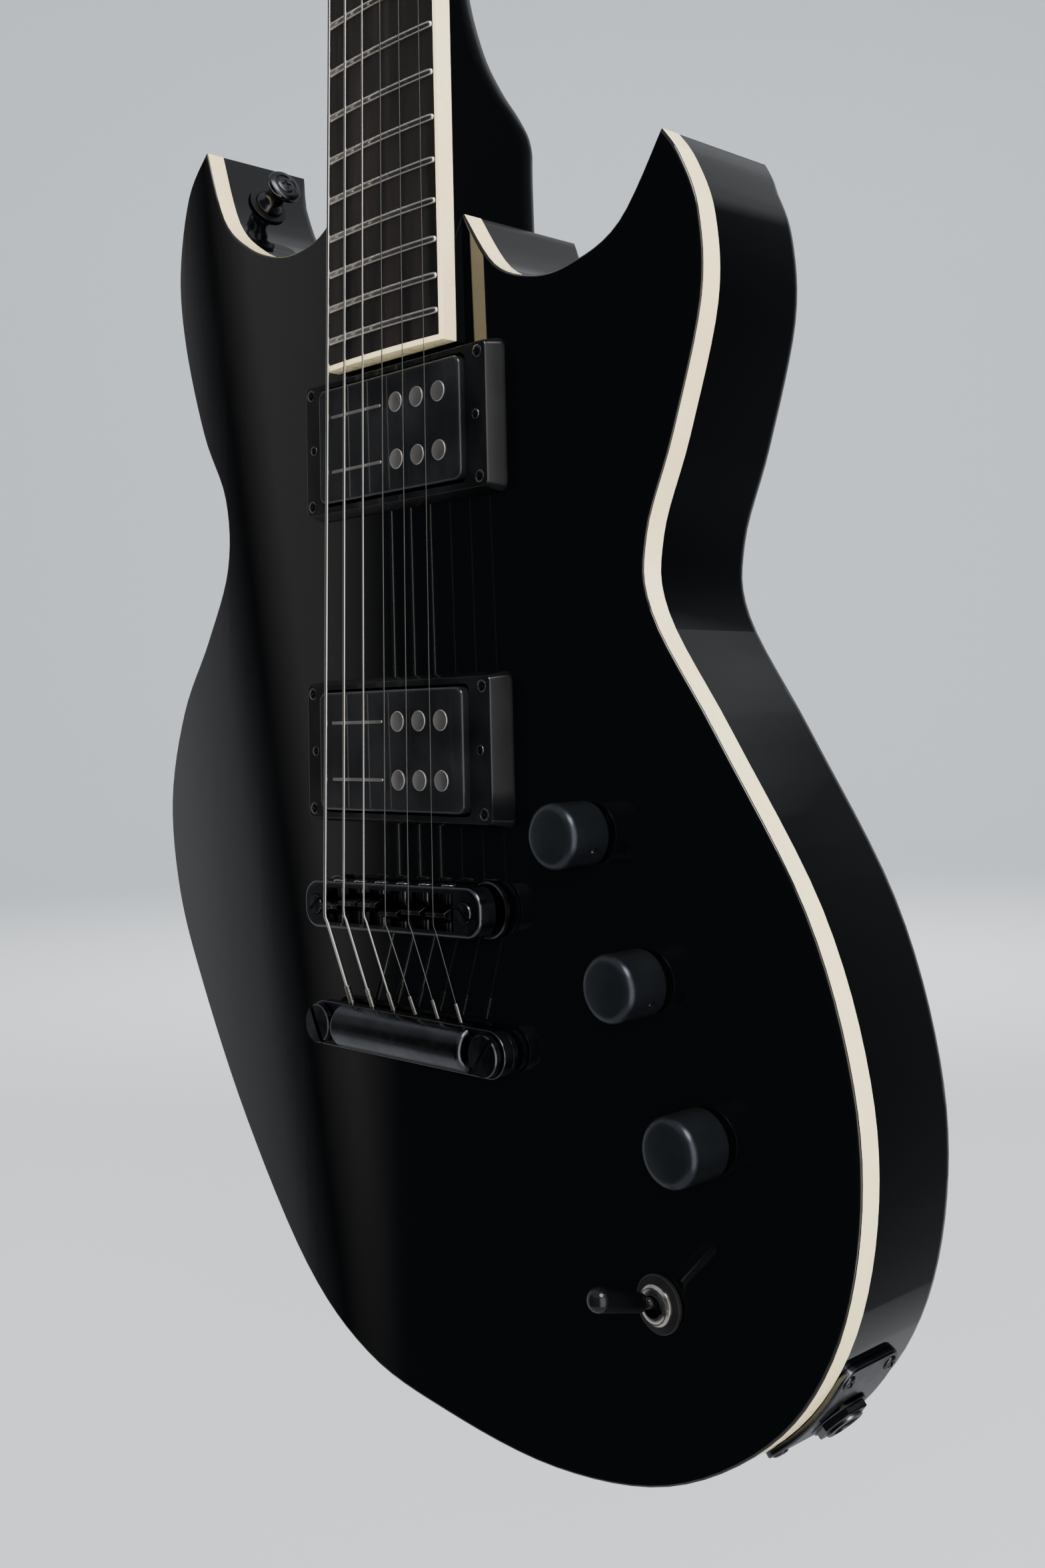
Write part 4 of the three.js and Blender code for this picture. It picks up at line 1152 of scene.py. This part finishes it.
def make_tailpiece():
    half = smooth_run([(-1.4, 6.6), (-4.6, 7.0), (-8.2, 5.4), (-10.3, 2.4), (-10.8, 0)], 5)
    lower = [Vector((point.x, -point.y)) for point in reversed(half[:-1])]
    section = [(-1.4, 6.6), *half, *lower, (-1.4, -6.6)]
    bar = layers(section, rounded_steps(-30.9, 30.9, 1.6, 1.6)).turned(90, "Z")
    ears = layers(rounded_rectangle(91.8, 13.8, 6.8, steps=10), rounded_steps(-6.3, -2.6, 0.5, 0.3))
    bore = lathe([(1.5, -15), (1.5, 15)], 20).turned(90, "X")
    bores = [bore.at(string_x(BRIDGE_SPREAD, number), TAIL_HOLE_Y, 0) for number in STRING_DIAMETERS]
    slots = [lathe([(4.2, 0), (4.2, 9)], 32).at(side * TAIL_POST_X, 0, 0) for side in (-1, 1)]
    common = {"stands_for": ["tailpiece"], "place": Matrix.Translation((0, 0, TAIL_Z))}
    make("tailpiece_bar", bar, BLACK_METAL, sharp=40, cutters=bores, **common)
    make("tailpiece_ears", ears, BLACK_METAL, cutters=slots, **common)
    for side, name in SIDES:
        here = Matrix.Translation((side * TAIL_POST_X, -arch(TAIL_POST_X) + 0.3, TAIL_Z))
        stud = lathe([
            (0, -25), (3.2, -25), (3.2, 0.2), (5.9, 0.2), (6.1, 0.4), (6.1, 1.9), (5.9, 2.1), (3.8, 2.1),
            (3.8, 6.7), (5.8, 6.7), (6.05, 6.95), (6.05, 8.5), (5.75, 8.9), (0, 9.1),
        ])
        slot = box(14, 3.2, 1.6, 0, -9.1, 0).turned(-52 if side > 0 else 62, "Y")
        stands_for = [f"tailpiece_stud_{name}"]
        make(f"tail_stud_{name}", stud, BLACK_METAL, stands_for=stands_for, cutters=[slot], place=here)


# ---------------------------------------------------------------- pickups
def make_ring(name, z):
    front = -cad(f"pickup_ring_{name}")[0].y
    steps = [(1.9, -front), (1.5, 0.15 - front), (1.25, 0.6 - front), (0, -0.6), (0, 1)]
    ring = layers(rounded_rectangle(90.8, 45.3, 3, 0, z), steps)
    window = layers(rounded_rectangle(70.6, 38.6, 2.5, 0, z), [(0, -20), (0, 10)])
    make(f"ring_{name}", ring, RING_PLASTIC, stands_for=[f"pickup_ring_{name}"], cutters=[window])
    corners = [(x, dz) for x in (-40.8, 40.8) for dz in (-18.3, 18.3)]
    screws(f"ring_screw_{name}", 1.9, [facing(FRONT, (x, 0.1 - front, z + dz)) for x, dz in corners])
    screws(f"height_screw_{name}", 1.6, [facing(FRONT, (x, 0.1 - front, z)) for x in (-39.6, 39.6)])


def make_pickup(name, z):
    """A cover with a blade and three pole screws in each of its rows."""
    body = f"pickup_{name}"
    front = -cad(body)[0].y
    shell = layers(rounded_rectangle(69, 37, 3, 0, z), rounded_steps(-front, 11.9, 1.1, 0.2, 5))
    foot = box(83.8, 1.4, 12.8, 0, 10, z)
    make(f"cover_{name}", shell + foot, COVER_PLASTIC, body, stands_for=[body], sharp=40)
    for row, dz in ((1, 8.8), (2, -8.8)):
        strip = rounded_rectangle(25.2, 1, 0.45, -14.6, z + dz)
        bar = layers(strip, rounded_steps(-front - 0.3, 1 - front, 0.2, 0.05, 2))
        make(f"blade_{name}_{row}", bar, POLE_NICKEL, body)
        for column, x in enumerate((5.4, 15.4, 25.4), 1):
            pole = lathe([(0, -1), (3.1, -1), (3.1, 0.2), (2.95, 0.38), (2.7, 0.44), (0, 0.46)], 36)
            make(f"pole_{name}_{row}_{column}", pole.at(x, -front, z + dz), POLE_NICKEL, body)


# ---------------------------------------------------------------- controls
def make_knob(number):
    place = joint_place(f"knob_{number}_turn")
    here = Matrix.Translation(place)
    base, top = 1.1, -cad(f"knob_{number}")[0].y + place.y
    dome = [(9 - 2.8 * (1 - math.cos(turn)), top - 3.1 + 2.7 * math.sin(turn)) for turn in quarter(6)]
    cap = lathe([
        (0, base + 3), (6.9, base + 3), (7, base), (8.75, base), (9, base + 0.3), *dome,
        (3.4, top - 0.12), (0, top - 0.08),
    ], 96)
    body = f"knob_{number}"
    out = Vector((0.875, 0, -0.484)) * (-1 if number == 3 else 1)
    outwards = facing(out, (0, -base - 4.9, 0))
    hole = lathe([(1.25, 6), (1.25, 12)], 20).by(outwards)
    make(f"knob_{number}_cap", cap, KNOB_GREY, body, stands_for=[body], cutters=[hole], sharp=40, place=here)
    grub = lathe([(0, 3), (1.2, 3), (1.2, 8), (0.9, 8.2), (0.5, 7.6), (0, 7.6)], 16).by(outwards)
    make(f"knob_{number}_grub_screw", grub, SCREW_METAL, body, place=here)
    washer = hoop([(4.3, 0.05), (6.8, 0.05), (6.9, 0.3), (6.7, 0.7), (4.3, 0.7)])
    make(f"knob_{number}_washer", washer, SCREW_METAL, place=here)


def make_switch():
    pivot = joint_place("switch_throw")
    common = {"stands_for": ["switch_nut"], "place": Matrix.Translation((pivot.x, arch(pivot.x), pivot.z))}
    washer = hoop(
        [(4.8, 0.05), (7.4, 0.05), (7.6, 0.3), (7.6, 1.1), (7.3, 1.35), (6.2, 1.45), (4.8, 1.45)], 64,
    )
    make("switch_washer", washer, SOFT_BLACK, **common)
    nut = hoop([(2.9, 1.45), (5.2, 1.45), (5.4, 1.7), (5.3, 2.4), (4.6, 3.1), (3.8, 3.45), (2.9, 3.58)], 48)
    notch = box(14, 1.4, 1.5, 0, -3.6, 0).turned(8, "Y")
    make("switch_nickel_nut", nut, NICKEL, cutters=[notch], bevel=0.12, **common)

    reach, tilt = 26.5, 17
    profile = [(0, -5), (1.4, -5), (2.3, -1), (2.3, 0.8), (1.5, 2), (1.5, 6.6), (2.3, 7.2), (2.55, 8)]
    profile += [(3.25 * math.cos(turn), reach - 3.3 + 3.2 * math.sin(turn)) for turn in quarter(6)]
    lever = lathe(profile, 40).turned(-tilt, "X")
    make("switch_stick", lever.at(*pivot), GLOSS_TIP, "switch_lever", stands_for=["switch_lever"], sharp=50)


# ---------------------------------------------------------------- jack and strap buttons
def rim_frames():
    """Places along the rim with how far round they are from the jack, for bending its plate."""
    jack = Vector((JACK[0].x, JACK[0].z))
    count = len(OUTLINE)
    nearest = min(range(count), key=lambda i: (OUTLINE[i] - jack).length)
    run = [OUTLINE[(nearest + k) % count] for k in range(-6, 7)]
    lengths = [0.0]
    for a, b in zip(run, run[1:]):
        lengths.append(lengths[-1] + (b - a).length)
    shares = [(k, (jack - run[k]).dot((run[k + 1] - run[k]).normalized())) for k in (5, 6)]
    k, along = next((pair for pair in shares if pair[1] >= 0), shares[0])
    start = lengths[k] + along
    return run, [length - start for length in lengths]


def along_rim(lengths, along):
    """The stretch of the rim that a place lies in, and how far along the stretch it is, from 0 to 1."""
    k = max(i for i in range(len(lengths) - 1) if lengths[i] <= along)
    return k, (along - lengths[k]) / (lengths[k + 1] - lengths[k])


def bend_round_rim(work):
    """Wraps a flat plate, x along the rim and z through the body's depth, on to the side of the body."""
    run, lengths = rim_frames()
    slice_across(work, 2, 11)
    for vertex in work.verts:
        along, out, deep = vertex.co.x / MM, -vertex.co.y / MM, vertex.co.z / MM + SCALE
        k, share = along_rim(lengths, along)
        tangents = [(run[min(i + 1, len(run) - 1)] - run[max(i - 1, 0)]).normalized() for i in (k, k + 1)]
        tangent = tangents[0].lerp(tangents[1], share).normalized()
        point = run[k].lerp(run[k + 1], share) + Vector((tangent.y, -tangent.x)) * out
        vertex.co = (Vector((point.x, JACK[0].y + deep, point.y)) - TO_SADDLE_LINE) * MM


def make_jack_plate():
    plate = layers(rounded_rectangle(39.2, 24.6, 5, 1, -1), rounded_steps(-1.8, -0.1, 0.6, 0.05))
    make("jack_plate_bent", plate, BLACK_METAL, stands_for=["jack_plate"], rework=bend_round_rim, sharp=40)
    run, lengths = rim_frames()
    places = []
    for along in (-14.6, 16.6):
        k, share = along_rim(lengths, along)
        point, tangent = run[k].lerp(run[k + 1], share), (run[k + 1] - run[k]).normalized()
        out = Vector((tangent.y, 0, -tangent.x))
        for deep in (-9.6, 7.6):
            places.append(facing(out, Vector((point.x, JACK[0].y + deep, point.y)) + out * 1.7))
    screws("jack_plate_screw", 2.2, places)


def make_jack():
    common = {"stands_for": ["jack_socket"], "place": on_side(JACK)}
    nut = layers(hexagon(7.4), rounded_steps(-4, -2.1, 0.4, 0.1, 3))
    bore = lathe([(5.5, 0), (5.5, 8)], 32)
    make("jack_nut", nut, BLACK_METAL, cutters=[bore], **common)
    washer = hoop([(5.5, 1.85), (8.2, 1.85), (8.3, 2), (8, 2.2), (5.5, 2.2)])
    make("jack_washer", washer, SCREW_METAL, **common)
    barrel = [(3.3, -20), (5.6, -20), (5.6, 3)]
    for thread in range(2):
        barrel += [(5.6, 3.1 + thread * 0.62), (5.3, 3.4 + thread * 0.62)]
    barrel += [(5.3, 4.6), (4.9, 4.75), (3.7, 4.8), (3.3, 4.4)]
    make("jack_barrel", hoop(barrel), SCREW_METAL, sharp=25, **common)


def make_strap_button(name, fitting):
    here = on_side(fitting)
    pin = lathe([
        (0, -22), (1.5, -22), (1.5, 0.6), (5.5, 0.7), (5.6, 1.2), (5.2, 2.4), (4.1, 3.6), (3.5, 5), (3.4, 7),
        (3.8, 8.4), (5, 9.8), (6.4, 10.6), (6.75, 11.3), (6.7, 12.2), (6.1, 12.9), (4.4, 13.2), (4.1, 12.8),
        (0, 12.8),
    ], 56)
    make(f"strap_pin_{name}", pin, BLACK_METAL, stands_for=[f"strap_button_{name}"], sharp=50, place=here)
    felt = hoop([(1.6, 0.05), (7.6, 0.1), (7.7, 0.4), (7.4, 0.75), (1.6, 0.7)])
    make(f"strap_felt_{name}", felt, SOFT_BLACK, place=here)
    screws(f"strap_screw_{name}", 3.4, [here @ facing(FRONT, (0, -12.7, 0))])


make_top()
make_sides_and_back()
make_body_binding()
make_back_cover()
make_neck_shaft()
make_headstock()
make_fingerboard()
make_board_binding()
make_frets()
make_nut()
make_strings()
for side, name in SIDES:
    make_tuner_strip(side, name)
for number, (side, post) in TUNERS.items():
    make_tuner(number, side, post)
make_bridge()
for number, diameter in STRING_DIAMETERS.items():
    make_saddle(number, diameter)
make_tailpiece()
for name, z in PICKUPS.items():
    make_ring(name, z)
    make_pickup(name, z)
for number in (1, 2, 3):
    make_knob(number)
make_switch()
make_jack_plate()
make_jack()
for name, fitting in STRAP_BUTTONS.items():
    make_strap_button(name, fitting)

# what shows of the CAD's own inner parts
for node in ("truss_rod", "potentiometer_1", "potentiometer_2", "potentiometer_3", "switch_body"):
    piece = frame["nodes"][node]
    piece.data.materials.clear()
    piece.data.materials.append(STEEL.material)
